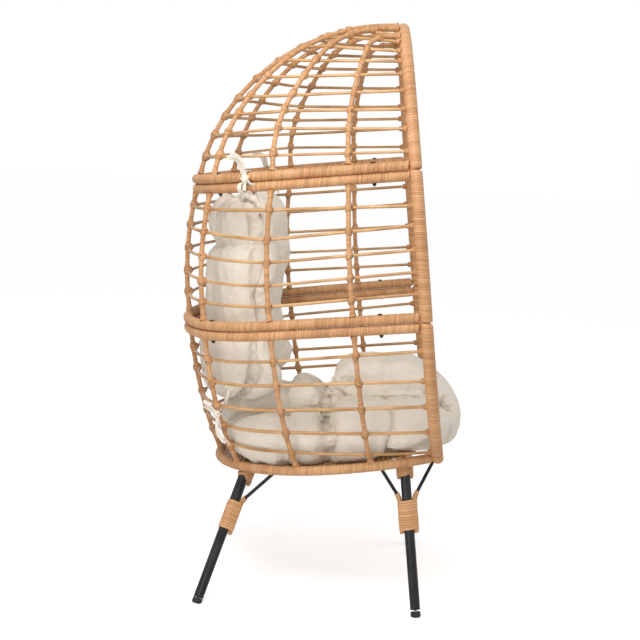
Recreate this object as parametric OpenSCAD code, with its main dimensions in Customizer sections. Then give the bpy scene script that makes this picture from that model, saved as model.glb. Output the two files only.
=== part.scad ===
// Standing egg chair: a wicker-bound shell in three bolted sections, two tufted
// cushions and four tube legs with levelling feet.
// The shell is drawn upright, with its rim plane at y = 0 and its base ring at
// z = 0, and is then reclined and lifted onto the legs. The chair faces -Y.

/* [Overall] */
// Tilt of the shell towards the back, degrees
recline = 7.3; // [4:0.1:10]
// Height of the middle of the base ring's front bar above the floor
seat_frame_h = 388; // [340:2:430]

/* [Shell] */
// Height of the lower section, from the base ring to its seam
lower_h = 362; // [320:2:400]
// Height of the middle section, from seam to seam
middle_h = 354; // [300:2:400]
// Height of the canopy, from its seam to the crown of the ribs
canopy_h = 368; // [320:2:420]
// Width of the rim at the lower seam, centre to centre
shell_w = 846; // [780:2:900]
// Depth of the shell at the lower seam, from the rim to the rear rib
shell_d = 613; // [570:1:660]
// How far the shell draws in round the upper seam
seam_waist = 5; // [0:1:12]
// Length of the base ring's front bar
front_bar_w = 504; // [460:2:520]
// How far the front bar stands in front of the rim's plane
front_bar_out = 9; // [0:1:15]
// Width of the base ring
base_w = 632; // [600:2:660]
// Depth of the base ring
base_d = 562; // [540:2:580]

/* [Tubes and canes] */
// Diameter of the wrapped rim tube
rim_od = 30; // [26:1:34]
// Diameter of the wrapped ring tubes
ring_od = 24; // [20:1:26]
// Diameter of the wrapped ribs
rib_od = 12; // [9:1:14]
// Diameter of the canes
cane_od = 8; // [6:0.5:9]
// Diameter of the lashing round each crossing of a cane and a rib
lashing_od = 19; // [15:1:22]

/* [Legs] */
// Outer diameter of the leg tubes
leg_od = 25; // [22:1:28]
// Wall of the leg tubes
leg_wall = 1.5; // [1:0.1:2]
// Distance between the left and right feet
foot_spacing_w = 640; // [560:2:680]
// How far the front feet stand in front of their legs' tops
front_splay = 48.1; // [30:0.1:70]
// How far the rear feet stand behind their legs' tops
rear_splay = 95.3; // [70:0.1:120]
// Diameter of the brace rods
brace_od = 9; // [7:0.5:10]
// Length of the wicker binding on each leg
wrap_l = 74; // [60:1:90]

/* [Feet] */
// Length of the foot pads along the leg
pad_l = 14; // [12:0.5:18]
// Diameter of the threaded stems
stem_od = 8; // [6:1:10]
// How far the front feet are screwed out
front_foot_out = 6; // [4:0.5:10]
// How far the rear feet are screwed out
rear_foot_out = 1; // [0.5:0.5:10]

/* [Cushions] */
// Room between the base ring's outside and the seat cushion's, on each side
seat_side_room = 21; // [15:1:40]
// Room between the back of the base ring and the seat cushion
seat_back_room = 21; // [15:1:40]
// How far the seat cushion reaches past the front bar's middle
seat_overhang = 71; // [50:1:80]
// Height of the seat cushion's crown above the base ring's middle
seat_cushion_h = 192; // [160:2:200]
// Width of the back cushion
back_cushion_w = 510; // [460:2:530]
// Height of the back cushion
back_cushion_h = 524; // [460:2:530]
// Thickness of the back cushion
back_cushion_t = 150; // [110:2:160]

/* [Hidden] */
$fn = 32;

// Colours
wicker = "#cf9d6f";
cane = "#c99f63";
cream = "#e9e0d3";
black = "#1c1c1c";
steel = "#8f9194";

// Heights above the base ring
seam_low = lower_h;
seam_high = lower_h + middle_h;
crown_z = seam_high + canopy_h;
seam_gap = 0.3;
waist_spread = 40;
ring_step = ring_od / 2 + seam_gap / 2;
rim_top_z = crown_z - rim_od / 2 - 1;
embed = 0.5; // how deep an end sits in the tube that it is fixed to
// The bound sleeve over a joint of a bent tube, and the lashing over a cane
collar_t = 0.1;
collar_l = 8;
lashing_l = 16;

// A rib's station in the plan of the shell: its share of the half width and of
// the depth, from the rear rib (0) over three side ribs to the rim (4)
REAR = 0;
RIM = 4;
SIDE_RIBS = [1, 2, 3];
share_x = [0, 0.627, 0.896, 0.951, 1];
share_y = [1, 0.885, 0.605, 0.28, 0];

// The base ring: a round back and two sides that draw in to the front bar
base_r = base_w / 2;
base_mid_y = base_d - base_r;

function unit(v) = v / norm(v);
function mix(a, b, t) = a + (b - a) * t;
function power(x, n) = x <= 0 ? 0 : pow(x, n);

// How far the section at height z has turned from the shell's plan into the base
// ring's (0 at the lower seam, 1 at the base), and how far it has drawn in to
// the crown
function base_share(z) = z >= seam_low ? 0 : pow((seam_low - z) / seam_low, 2.2);
function draw_in(z, top, n) =
  z <= seam_low ? 1 : power(1 - power((z - seam_low) / (top - seam_low), n), 1 / n);

base_plan = [
  [0, base_d], [0.61 * base_r, base_mid_y + 0.792 * base_r],
  [0.955 * base_r, base_mid_y + 0.297 * base_r], [0.965 * base_r, 0.28 * base_d],
  [front_bar_w / 2, -front_bar_out]
];
// The middle side ribs sweep back a little in the canopy
sweep = [0, 0, 0.025, 0.012, 0];
function canopy_share(z) = min(1, max(0, (z - seam_high) / (0.3 * canopy_h)));
function shell_plan(k, z) = [
  shell_w / 2 * share_x[k] * draw_in(z, crown_z, 2.3),
  shell_d * (share_y[k] + sweep[k] * canopy_share(z)) * draw_in(z, crown_z, 2.42)
    - seam_waist * share_y[k] * dip(z - seam_high, waist_spread)
];
// The centre of rib k at height z, on the +X side
function station(k, z) =
  let (p = mix(shell_plan(k, z), base_plan[k], base_share(z))) [p.x, p.y, z];
// The middle of the section at height z, which "inwards" points to
function section_middle(z) = [0, 0.42 * station(REAR, z).y, z];
function inwards(k, z) = unit(section_middle(z) - station(k, z));

// ---- Bent tubes ----

// The tangent that a tube with tangent t at p has on its arc's far end, q
function turned(p, t, q) = let (c = unit(q - p)) 2 * (t * c) * c - t;
// The tangent at a of the circle through a, b and c
function first_tangent(a, b, c) =
  let (ab = b - a, ac = c - a) unit(ab / (ab * ab) - ac / (ac * ac));

// One arc of tube from p, along t, to q. Each end stops short by trim.
module bend(p, t, q, r, trim = 0) {
  chord = q - p;
  side = cross(cross(t, chord), t);
  s = unit(side);
  radius = (chord * chord) / (2 * chord * s);
  turn = 2 * atan2(chord * s, chord * t);
  cut = trim / radius * 180 / PI;
  o = p + radius * s;
  z = cross(-s, t);
  multmatrix([[-s.x, t.x, z.x, o.x], [-s.y, t.y, z.y, o.y], [-s.z, t.z, z.z, o.z]])
    rotate([0, 0, cut])
      rotate_extrude(angle = turn - 2 * cut, $fn = 120)
        translate([radius, 0]) circle(r, $fn = 24);
}

// A short sleeve round a tube at p, along t
module collar(p, t, r, l) {
  rod(p - l / 2 * t, p + l / 2 * t, r);
}

// Arcs that run on smoothly through the points, with a collar over each joint
module bent_tube(points, t, r, collar_r, collar_l, i = 0) {
  last = len(points) - 2;
  bend(points[i], t, points[i + 1], r, trim = 0.4);
  if (i < last) {
    next = turned(points[i], t, points[i + 1]);
    collar(points[i + 1], next, collar_r, collar_l);
    bent_tube(points, next, r, collar_r, collar_l, i + 1);
  }
}

// A straight rod from a to b
module rod(a, b, r) {
  d = b - a;
  translate(a)
    rotate([0, atan2(norm([d.x, d.y]), d.z), atan2(d.y, d.x)]) cylinder(h = norm(d), r = r);
}

module both_sides() {
  children();
  mirror([1, 0, 0]) children();
}

// Draws the +X side's parts for a left sitter's side and mirrors them for the right
module on_side(side) {
  mirror([side == "right" ? 1 : 0, 0, 0]) children();
}

// ---- From the upright shell to the chair ----

// Where the shell's origin lies over the middle of the chair's footprint
back_reach = (shell_d + rib_od) * cos(recline) + (seam_low + 60) * sin(recline);
front_reach = 64.5;
shell_y = -(back_reach - front_reach) / 2;
function to_chair(p) = [
  p.x,
  p.y * cos(recline) + p.z * sin(recline) + shell_y,
  p.z * cos(recline) - p.y * sin(recline) + seat_frame_h
];
module reclined() {
  translate([0, shell_y, seat_frame_h]) rotate([-recline, 0, 0]) children();
}

// ---- Rings, rim, ribs and canes ----

// Where a cane passes rib k at height z: inside it, or at its end on the rim
function cane_point(k, z) = k == RIM
  ? station(k, z) + [-4, rim_od / 2 - embed, 0]
  : station(k, z) + (rib_od + cane_od) / 2 * inwards(k, z);

// The direction that crosses the ground as t does and lies in the plane of chord and
// a level line across it
function levelled(t, chord) =
  let (n = cross(chord, cross([0, 0, 1], chord)))
  unit([t.x, t.y, -(t.x * n.x + t.y * n.y) / n.z]);
// Arcs through the points that climb evenly from each to the next
module cane_tube(points, t, i = 0) {
  start = levelled(t, points[i + 1] - points[i]);
  bend(points[i], start, points[i + 1], cane_od / 2, trim = 0.4);
  if (i < len(points) - 2) {
    next = turned(points[i], start, points[i + 1]);
    collar(points[i + 1], next, lashing_od / 2, lashing_l);
    cane_tube(points, next, i + 1);
  }
}
// Half a cane, on the +X side, by its heights at the rear rib, side rib 2 and the rim
module half_cane(rear_z, side_z, rim_z) {
  first_z = mix(side_z, rear_z, (share_y[1] - share_y[2]) / (1 - share_y[2]));
  points = [
    cane_point(REAR, rear_z), cane_point(1, first_z), cane_point(2, side_z), cane_point(RIM, rim_z)
  ];
  cane_tube(points, [1, 0, 0]);
}
// A whole cane by its heights at the left end, left rib 2, rear rib, right rib 2 and right end
module one_cane(z) {
  half_cane(z[2], z[1], z[0]);
  mirror([1, 0, 0]) half_cane(z[2], z[3], z[4]);
  collar(cane_point(REAR, z[2]), [1, 0, 0], lashing_od / 2, lashing_l);
}

// The canes of a section, in a low and a high group
module canes(levels, from, span, group) {
  half = floor(len(levels) / 2);
  picked = group == "low" ? [0:half - 1] : [half:len(levels) - 1];
  color(cane) reclined() for (i = picked)
    one_cane([for (share = levels[i]) from + share * span]);
}

// Each cane's five heights as shares of its section's. They are laid by hand, and
// the two sides differ a little.
lower_levels = [
  [0.06, 0.12, 0.18, 0.14, 0.05], [0.23, 0.28, 0.32, 0.29, 0.22],
  [0.41, 0.43, 0.465, 0.45, 0.42], [0.55, 0.57, 0.635, 0.625, 0.605],
  [0.86, 0.85, 0.79, 0.79, 0.81]
];
middle_levels = [
  [0.18, 0.215, 0.2, 0.16, 0.19], [0.325, 0.36, 0.36, 0.3, 0.335],
  [0.5, 0.525, 0.53, 0.455, 0.48], [0.68, 0.69, 0.7, 0.61, 0.64],
  [0.825, 0.835, 0.84, 0.805, 0.77]
];
canopy_levels = [
  [0.14, 0.2, 0.18, 0.16, 0.12], [0.28, 0.3, 0.32, 0.33, 0.265],
  [0.355, 0.4, 0.45, 0.44, 0.39], [0.445, 0.5, 0.565, 0.54, 0.51],
  [0.58, 0.635, 0.69, 0.66, 0.62], [0.715, 0.76, 0.8, 0.76, 0.705],
  [0.805, 0.845, 0.88, 0.85, 0.775], [0.87, 0.91, 0.93, 0.915, 0.84],
  [0.92, 0.955, 0.965, 0.955, 0.89]
];

module middle_rib(k) {
  top = seam_high - ring_step - ring_od / 2 + embed;
  bottom = seam_low + ring_step + ring_od / 2 - embed;
  a = station(k, top);
  c = station(k, bottom);
  bend(a, first_tangent(a, station(k, (top + bottom) / 2), c), c, rib_od / 2);
}

module lower_rib(k) {
  top = seam_low - ring_step - ring_od / 2 + embed;
  knee = 0.27 * lower_h;
  a = station(k, top);
  c = station(k, knee);
  t = first_tangent(a, station(k, (top + knee) / 2), c);
  foot = station(k, 0) + [0, 0, ring_od / 2 - embed];
  bent_tube([a, c, foot], t, rib_od / 2, rib_od / 2 + collar_t, collar_l);
}

// Where rib k meets the rim's arch: the ribs fan out from its top
rib_fan = 56;
function rim_x(z) = shell_w / 2 * draw_in(z, rim_top_z, 2.3);
function rim_z(x) = seam_low
  + (rim_top_z - seam_low) * power(1 - power(x / (shell_w / 2), 2.3), 1 / 2.3);
function crown_point(k) =
  let (x = rib_fan * k, n = unit([0, 0.82, 0.57]))
  [x, 0, rim_z(x)] + (rim_od / 2 - embed) * n;

module canopy_rib(k) {
  bottom = seam_high + ring_step + ring_od / 2 - embed;
  low = seam_high + 0.5 * canopy_h;
  high = seam_high + 0.82 * canopy_h;
  a = station(k, bottom);
  b = station(k, low);
  c = station(k, high);
  t = first_tangent(a, station(k, (bottom + low) / 2), b);
  bent_tube([a, b, c, crown_point(k)], t, rib_od / 2, rib_od / 2 + collar_t, collar_l);
}

module lower_ribs(ks, side) {
  color(wicker) reclined() on_side(side) for (k = ks) lower_rib(k);
}
module middle_ribs(ks, side) {
  color(wicker) reclined() on_side(side) for (k = ks) middle_rib(k);
}
module canopy_ribs(ks, side) {
  color(wicker) reclined() on_side(side) for (k = ks) canopy_rib(k);
}

module base_ring() {
  collar_r = ring_od / 2 + collar_t;
  rear = [0, base_d, 0];
  side = [base_r, base_mid_y, 0];
  corner = [front_bar_w / 2, -front_bar_out + rim_od / 2 - embed, 0];
  color(wicker) reclined() {
    both_sides() bent_tube([rear, side, corner], [1, 0, 0], ring_od / 2, collar_r, collar_l);
    collar(rear, [1, 0, 0], collar_r, collar_l);
    bar = front_bar_w / 2 - rim_od / 2 + embed;
    rod([-bar, -front_bar_out, 0], [bar, -front_bar_out, 0], ring_od / 2);
  }
}

// Two cross rods under the deck, from side to side of the base ring
cross_od = 12;
cross_z = -cross_od / 2 - 0.2;
cross_y = [0.132 * base_d, 0.849 * base_d];
// Half the inside width of the base ring at depth y
function base_half_w(y) = y > base_mid_y
  ? sqrt(base_r * base_r - (y - base_mid_y) * (y - base_mid_y))
  : mix(front_bar_w / 2, base_r, sin(90 * y / base_mid_y));
module base_crossbars() {
  color(wicker) reclined()
    for (y = cross_y) {
      reach = base_half_w(y) - ring_od / 2 + 2;
      rod([-reach, y, cross_z], [reach, y, cross_z], cross_od / 2);
    }
}

// The woven deck: a flat mat that lies on the cross rods inside the ring
deck_t = 4;
deck_z = 0.1;
deck_edge = ring_od / 2 + 7;
deck_front = 36 - front_bar_out;
deck_side = [for (a = [-90:9:90]) [
  (base_r - deck_edge) * cos(a),
  base_mid_y + sin(a) * (a < 0 ? base_mid_y - deck_front : base_r - deck_edge)
]];
module seat_deck() {
  mirrored = [for (i = [len(deck_side) - 2:-1:1]) [-deck_side[i].x, deck_side[i].y]];
  color(cane) reclined() translate([0, 0, deck_z]) linear_extrude(deck_t)
    polygon(concat(deck_side, mirrored));
}

// ---- Rim ----

module canopy_rim() {
  top = [0, 0, rim_top_z];
  heights = [0.81, 0.48];
  shoulder = [for (h = heights) let (z = seam_high + h * canopy_h) [rim_x(z), 0, z]];
  foot_z = seam_high + seam_gap / 2;
  points = concat([top], shoulder, [[rim_x(foot_z), 0, foot_z]]);
  color(wicker) reclined() {
    both_sides() bent_tube(points, [1, 0, 0], rim_od / 2, rim_od / 2 + collar_t, collar_l);
    collar(top, [1, 0, 0], rim_od / 2 + collar_t, collar_l);
  }
}

module middle_post(side) {
  top = seam_high - seam_gap / 2;
  bottom = seam_low + seam_gap / 2;
  a = [rim_x(top), 0, top];
  b = [rim_x((top + bottom) / 2), 0, (top + bottom) / 2];
  c = [shell_w / 2, 0, bottom];
  color(wicker) reclined() on_side(side) bend(a, first_tangent(a, b, c), c, rim_od / 2);
}

module lower_post(side) {
  top = seam_low - seam_gap / 2;
  a = [shell_w / 2, 0, top];
  b = station(RIM, lower_h / 2);
  c = station(RIM, 0);
  color(wicker) reclined() on_side(side) {
    bent_tube([a, b, c], [0, 0, -1], rim_od / 2, rim_od / 2 + collar_t, collar_l);
    translate(c) sphere(rim_od / 2 + 0.4, $fn = 32);
  }
}

// ---- Seam bolts ----

bolt_r = 3;
bolt_head_r = 6.5;
bolt_head_h = 4;
// Each bolt's arc of the ring, and the share of that arc's turn to its place
bolt_places = [[2, 0.74], [1, 0.2]];
// The two rings of a seam have one plan
function ring_points(seam, z) =
  let (up = [0, 0, z - seam]) [
    station(REAR, seam) + up, station(1, seam) + up, station(2, seam) + up,
    station(RIM, seam) + [-2, rim_od / 2 - embed, 0] + up
  ];
function tangents(points, t, i = 0) = i == len(points) - 1
  ? []
  : concat([t], tangents(points, turned(points[i], t, points[i + 1]), i + 1));
function arc_point(p, t, q, share) =
  let (
    chord = q - p,
    s = unit(cross(cross(t, chord), t)),
    radius = (chord * chord) / (2 * chord * s),
    turn = 2 * atan2(chord * s, chord * t) * share
  )
  p + radius * ((1 - cos(turn)) * s + sin(turn) * t);
function bolt_point(place, seam) =
  let (points = ring_points(seam, seam), i = place[0])
  arc_point(points[i], tangents(points, [1, 0, 0])[i], points[i + 1], place[1]);

module at_bolts(seam) {
  for (place = bolt_places) both_sides() translate(bolt_point(place, seam)) children();
}

// A ring from rim to rim round the back, below (-1) or above (1) its seam
module section_ring(seam, side) {
  points = ring_points(seam, seam + side * ring_step);
  collar_r = ring_od / 2 + collar_t;
  color(wicker) reclined() {
    both_sides() bent_tube(points, [1, 0, 0], ring_od / 2, collar_r, collar_l);
    collar(points[0], [1, 0, 0], collar_r, collar_l);
  }
}

// Through both rings of a seam, with a head above and a nut below
module seam_bolts(seam) {
  reach = 2 * ring_step - 0.1;
  color(black) reclined() at_bolts(seam) {
    translate([0, 0, -reach]) cylinder(h = 2 * reach, r = bolt_r);
    translate([0, 0, reach]) cylinder(h = bolt_head_h, r = bolt_head_r);
    translate([0, 0, -reach - bolt_head_h]) cylinder(h = bolt_head_h, r = bolt_head_r);
  }
}

// ---- Legs ----

FRONT = 0;
BACK = 1;
// The legs' tops, under the base ring, in the upright shell
leg_top = [
  [0.83 * base_r, 0.132 * base_d, -ring_od / 2],
  [0.61 * base_r, 0.849 * base_d, -ring_od / 2]
];
socket_r = 18.5;
socket_l = 26;
leg_start = 7; // from the socket's top down to the leg tube's
foot_out = [front_foot_out, rear_foot_out];
// The point of a leg's axis 6 mm above the floor, in the middle of its pad
foot_mid_z = 6;
splay = [-front_splay, rear_splay];
function top_of(leg) = to_chair(leg_top[leg]);
function foot_mid(leg) = [foot_spacing_w / 2, top_of(leg).y + splay[leg], foot_mid_z];
function down(leg) = unit(foot_mid(leg) - top_of(leg));
// The pad's top, the flange's underside and the tube's end, up the leg's axis
flange_t = 2.5;
function pad_top(leg) = foot_mid(leg) - 0.45 * pad_l * down(leg);
function flange_end(leg) = pad_top(leg) - foot_out[leg] * down(leg);
function tube_end(leg) = flange_end(leg) - flange_t * down(leg);

module leg_tube(leg, side) {
  over = down(leg);
  color(black) on_side(side) difference() {
    rod(top_of(leg) + leg_start * over, tube_end(leg), leg_od / 2);
    rod(top_of(leg), tube_end(leg) + over, leg_od / 2 - leg_wall);
  }
}

// A wicker-bound socket under the base ring, round the leg's top
module socket(leg, side) {
  color(wicker) on_side(side) difference() {
    reclined() translate([leg_top[leg].x, leg_top[leg].y + 3, leg_top[leg].z - socket_l])
      cylinder(h = socket_l, r = socket_r);
    rod(top_of(leg) - 20 * down(leg), tube_end(leg), leg_od / 2 + 0.1);
  }
}

// The binding holds the lower ends of two brace rods against the leg
binding_from = 86;
binding_to = binding_from + wrap_l;
brace_tail = 5;
// Where each leg's two braces end, under the frame
brace_tops = [
  [[0.945 * base_r, 0.232 * base_d, -ring_od / 2 + 1], [0.585 * base_r, 2 - front_bar_out, -ring_od / 2 + 1]],
  [[0.845 * base_r, 0.715 * base_d, -ring_od / 2 + 1], [0.3 * base_r, 0.84 * base_d, -ring_od / 2 + 1]]
];
// The side of the leg that each brace's lower end lies on
brace_sides = [[[0, 1, 0], [0, -1, 0]], [[0, -1, 0], [-1, 0, 0]]];
function across(v, axis) = v - (v * axis) * axis;
function brace_side(leg, i) = unit(across(brace_sides[leg][i], down(leg)));
brace_off = leg_od / 2 + brace_od / 2 + 0.3;
function brace_at(leg, i, along) =
  top_of(leg) + along * down(leg) + brace_off * brace_side(leg, i);

module braces(leg, side) {
  color(black) on_side(side) for (i = [0, 1]) {
    knee = brace_at(leg, i, binding_from - 4);
    rod(to_chair(brace_tops[leg][i]), knee, brace_od / 2);
    translate(knee) sphere(brace_od / 2 + 0.05, $fn = 24);
    rod(knee, brace_at(leg, i, binding_to + brace_tail), brace_od / 2);
  }
}

// Turns the Z axis onto the leg's, with the leg's top at the origin
module along_leg(leg) {
  d = down(leg);
  translate(top_of(leg)) rotate([0, acos(d.z), atan2(d.y, d.x)]) children();
}
// The same turn undone, for a direction: its place across the leg
function across_leg(leg, v) =
  let (d = down(leg), a = atan2(d.y, d.x), b = acos(d.z))
  let (x = v.x * cos(a) + v.y * sin(a), y = -v.x * sin(a) + v.y * cos(a))
  [x * cos(b) - v.z * sin(b), y];

binding_t = 3;
module binding(leg, side) {
  off = [for (i = [0, 1]) across_leg(leg, brace_off * brace_side(leg, i))];
  color(wicker) on_side(side) along_leg(leg) translate([0, 0, binding_from])
    linear_extrude(wrap_l) difference() {
      hull() {
        circle(leg_od / 2 + binding_t, $fn = 32);
        for (p = off) translate(p) circle(brace_od / 2 + binding_t, $fn = 20);
      }
      circle(leg_od / 2 + 0.1, $fn = 32);
      for (p = off) translate(p) circle(brace_od / 2 + 0.1, $fn = 20);
    }
}

// ---- Levelling feet ----

stem_r = stem_od / 2;
thread_gap = 0.05;
insert_l = 24;
stem_up = 34;
stem_in_pad = 7;

// A plug in the leg's end, with the thread that the stem turns in
module insert(leg, side) {
  body_top = tube_end(leg) - insert_l * down(leg);
  color(black) on_side(side) difference() {
    union() {
      rod(body_top, tube_end(leg) + flange_t / 2 * down(leg), leg_od / 2 - leg_wall - 0.02);
      rod(tube_end(leg), flange_end(leg), leg_od / 2);
    }
    rod(body_top - down(leg), flange_end(leg) + down(leg), stem_r + thread_gap);
  }
}

module stem(leg, side) {
  color(steel) on_side(side)
    rod(flange_end(leg) - stem_up * down(leg), pad_top(leg) + stem_in_pad * down(leg), stem_r);
}

// A rounded pad in line with the leg, with its sole flat on the floor
module pad(leg, side) {
  round_r = 4;
  pad_r = leg_od / 2;
  color(black) on_side(side) intersection() {
    difference() {
      translate(pad_top(leg)) rotate([0, acos(down(leg).z), atan2(down(leg).y, down(leg).x)])
        rotate_extrude($fn = 48) {
          square([pad_r - round_r, pad_l]);
          square([pad_r, pad_l - round_r]);
          translate([pad_r - round_r, pad_l - round_r]) circle(round_r, $fn = 32);
        }
      rod(pad_top(leg) - down(leg), pad_top(leg) + (stem_in_pad + 0.3) * down(leg), stem_r + thread_gap);
    }
    above = 3 * leg_od;
    translate(foot_mid(leg) + [-above / 2, -above / 2, -foot_mid_z]) cube(above);
  }
}

// ---- Cushions ----

// A closed pillow from the middle of one face to the middle of the other, with
// rings of steps_round points between them
steps_round = 40;
module pillow(points) {
  rows = (len(points) - 2) / steps_round;
  last = len(points) - 1;
  at = function(row, k) 1 + row * steps_round + k % steps_round;
  polyhedron(points, concat(
    [for (k = [0:steps_round - 1]) [0, at(0, k + 1), at(0, k)]],
    [for (row = [0:rows - 2], k = [0:steps_round - 1]) each [
      [at(row, k), at(row, k + 1), at(row + 1, k)],
      [at(row, k + 1), at(row + 1, k + 1), at(row + 1, k)]
    ]],
    [for (k = [0:steps_round - 1]) [last, at(rows - 1, k), at(rows - 1, k + 1)]]
  ));
}
function outline_r(a, half_w, half_d, n) =
  pow(pow(abs(cos(a)) / half_w, n) + pow(abs(sin(a)) / half_d, n), -1 / n);
function dip(d, spread) = exp(-d * d / (2 * spread * spread));
// How far sewn tufts at (±x, y...) and the creases through them draw the face in
function tufted(x, y, tuft_x, tuft_ys, depth) =
  depth * max([for (ty = tuft_ys) dip(norm([abs(x) - tuft_x, y - ty]), 30)])
  + 0.3 * depth * max(dip(abs(x) - tuft_x, 18), max([for (ty = tuft_ys) dip(y - ty, 18)]));

function smooth(x, from, to) =
  let (t = min(1, max(0, (x - from) / (to - from)))) t * t * (3 - 2 * t);

seat_tuft_x = 100;
seat_tufts = [-95, 80];
seat_cushion_w = base_w - 2 * seat_side_room;
seat_cushion_d = base_d - seat_back_room + seat_overhang;
seat_mid_y = seat_cushion_d / 2 - seat_overhang;
seat_bottom = deck_z + deck_t + 0.3;
// The underside lies on the deck, lifts over the front bar and droops past it
bar_top = ring_od / 2 + 5;
bar_front = -ring_od / 2 - 6 - front_bar_out;
droop = 30;
droop_from = bar_front - 32;
lift_from = 26 - front_bar_out;
lift_to = 80;
function seat_underside(y) =
  y < bar_front ? mix(-droop, bar_top, smooth(y, droop_from, bar_front))
  : mix(bar_top, seat_bottom, smooth(y, lift_from, lift_to));
top_shares = [for (i = [1:9]) sin(90 * i / 9)];
under_shares = [0.975, 0.91, 0.835, 0.8, 0.7, 0.5, 0.25];
function seat_point(r, a, face) =
  let (
    edge = outline_r(a, seat_cushion_w / 2, seat_cushion_d / 2, 2.6),
    x = r * edge * cos(a),
    y = r * edge * sin(a),
    dome = power(1 - pow(r, 4.4), 0.55),
    side_z = mix(45, 72, smooth(y, -seat_cushion_d / 2, 0)),
    crown = seat_cushion_h - 20 * smooth(y, -40, seat_cushion_d / 2),
    under = seat_underside(y + seat_mid_y)
  )
  face > 0
    ? [x, y, side_z + (crown - side_z) * dome - tufted(x, y, seat_tuft_x, seat_tufts, 40) * dome]
    : [x, y, under + (side_z - under) * (1 - power(1 - pow(r, 16), 0.5))];

back_tuft_x = 92;
back_tufts = [-70, 100];
back_bend = 100;
back_lean = -0.105;
back_foot = 160;
back_inset = 122;
back_mid = [0, shell_d - back_inset, back_foot + back_cushion_h / 2];
even_shares = [for (i = [1:8]) sin(90 * i / 9)];
function back_point(r, a, face) =
  let (
    edge = outline_r(a, back_cushion_w / 2, back_cushion_h / 2, 4.5),
    x = r * edge * cos(a),
    z = r * edge * sin(a),
    dome = power(1 - pow(r, 12), 0.5),
    bend = back_bend * pow(abs(x) / (back_cushion_w / 2), 2),
    tuft = tufted(x, z, back_tuft_x, back_tufts, 30),
    half_t = back_cushion_t / 2
  )
  [x, back_lean * z - bend - face * dome * (half_t - (face > 0 ? 1 : 0.3) * tuft), z];

round_angles = [for (k = [0:steps_round - 1]) 360 * k / steps_round];

module seat_cushion() {
  points = concat(
    [seat_point(0, 0, 1)],
    [for (r = top_shares, a = round_angles) seat_point(r, a, 1)],
    [for (r = under_shares, a = round_angles) seat_point(r, a, -1)],
    [seat_point(0, 0, -1)]
  );
  color(cream) reclined() translate([0, seat_mid_y, 0]) pillow(points);
}

module back_cushion() {
  points = concat(
    [back_point(0, 0, 1)],
    [for (r = top_shares, a = round_angles) back_point(r, a, 1)],
    [for (i = [7:-1:0], a = round_angles) back_point(even_shares[i], a, -1)],
    [back_point(0, 0, -1)]
  );
  color(cream) reclined() translate(back_mid) pillow(points);
}

// Fabric ties: a loop round the frame, its knot and two tails. The upper pair goes
// round both rings of the upper seam, the lower pair round a side rib.
tie_r = 3.5;
tie_t = 3;
tie_w = 10;
knot_r = 8;
module loop_plan(r, straight) {
  for (y = [-straight / 2, straight / 2]) translate([0, y]) circle(r, $fn = 48);
  if (straight > 0) square([2 * r, straight], center = true);
}
module tie(tube_r, straight) {
  inner = tube_r + 0.2;
  linear_extrude(tie_w, center = true) difference() {
    loop_plan(inner + tie_t, straight);
    loop_plan(inner, straight);
  }
  knot = inner + knot_r;
  translate([knot, 0, 0]) sphere(knot_r, $fn = 24);
  rod([knot, 0, 0], [knot + 8, -36, -8], tie_r - 0.5);
  rod([knot, 0, 0], [knot + 10, -26, 12], tie_r - 0.5);
}
upper_tie = bolt_point([1, 0.68], seam_high);
lower_tie = station(1, 0.405 * lower_h);
// Just off the cushion's edge at angle a, where a tie is sewn on
function tie_anchor(a) =
  back_mid + back_point(1, a, 1) + (tie_r + 0.3) * unit([pow(cos(a), 3), 0, pow(sin(a), 3)]);
// From a loop's inner side, over a knee, to the cushion
module strand(from, inward, to) {
  knee = from + inward;
  rod(from + 0.5 * inward, knee + 2 * unit(inward), tie_r);
  rod(knee, to, tie_r - 0.3);
}
module back_cushion_ties() {
  color(cream) reclined() both_sides() {
    translate(upper_tie) rotate([90, 0, 33]) tie(ring_od / 2, 2 * ring_step);
    strand(upper_tie, 26 * unit([-0.84, -0.54, 0]), tie_anchor(54));
    translate(lower_tie) rotate([0, 0, 60]) tie(rib_od / 2, 0);
    strand(lower_tie, 16 * inwards(1, lower_tie.z), tie_anchor(-45));
  }
}

base_ring();
base_crossbars();
seat_deck();
lower_post("left");  // lower_post_left
lower_post("right");  // lower_post_right
section_ring(seam_low, -1);  // lower_top_ring
lower_ribs([REAR], "left");  // lower_rib_rear
lower_ribs(SIDE_RIBS, "left");  // lower_ribs_left
lower_ribs(SIDE_RIBS, "right");  // lower_ribs_right
canes(lower_levels, 0, lower_h, "low");  // lower_canes_low
canes(lower_levels, 0, lower_h, "high");  // lower_canes_high
section_ring(seam_low, 1);  // middle_bottom_ring
section_ring(seam_high, -1);  // middle_top_ring
middle_post("left");  // middle_post_left
middle_post("right");  // middle_post_right
middle_ribs([REAR], "left");  // middle_rib_rear
middle_ribs(SIDE_RIBS, "left");  // middle_ribs_left
middle_ribs(SIDE_RIBS, "right");  // middle_ribs_right
canes(middle_levels, seam_low, middle_h, "low");  // middle_canes_low
canes(middle_levels, seam_low, middle_h, "high");  // middle_canes_high
section_ring(seam_high, 1);  // canopy_bottom_ring
canopy_rim();
canopy_ribs([REAR], "left");  // canopy_rib_rear
canopy_ribs(SIDE_RIBS, "left");  // canopy_ribs_left
canopy_ribs(SIDE_RIBS, "right");  // canopy_ribs_right
canes(canopy_levels, seam_high, canopy_h, "low");  // canopy_canes_low
canes(canopy_levels, seam_high, canopy_h, "high");  // canopy_canes_high
seam_bolts(seam_low);  // lower_seam_bolts
seam_bolts(seam_high);  // upper_seam_bolts
LEGS = [["front", FRONT], ["rear", BACK]];
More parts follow.
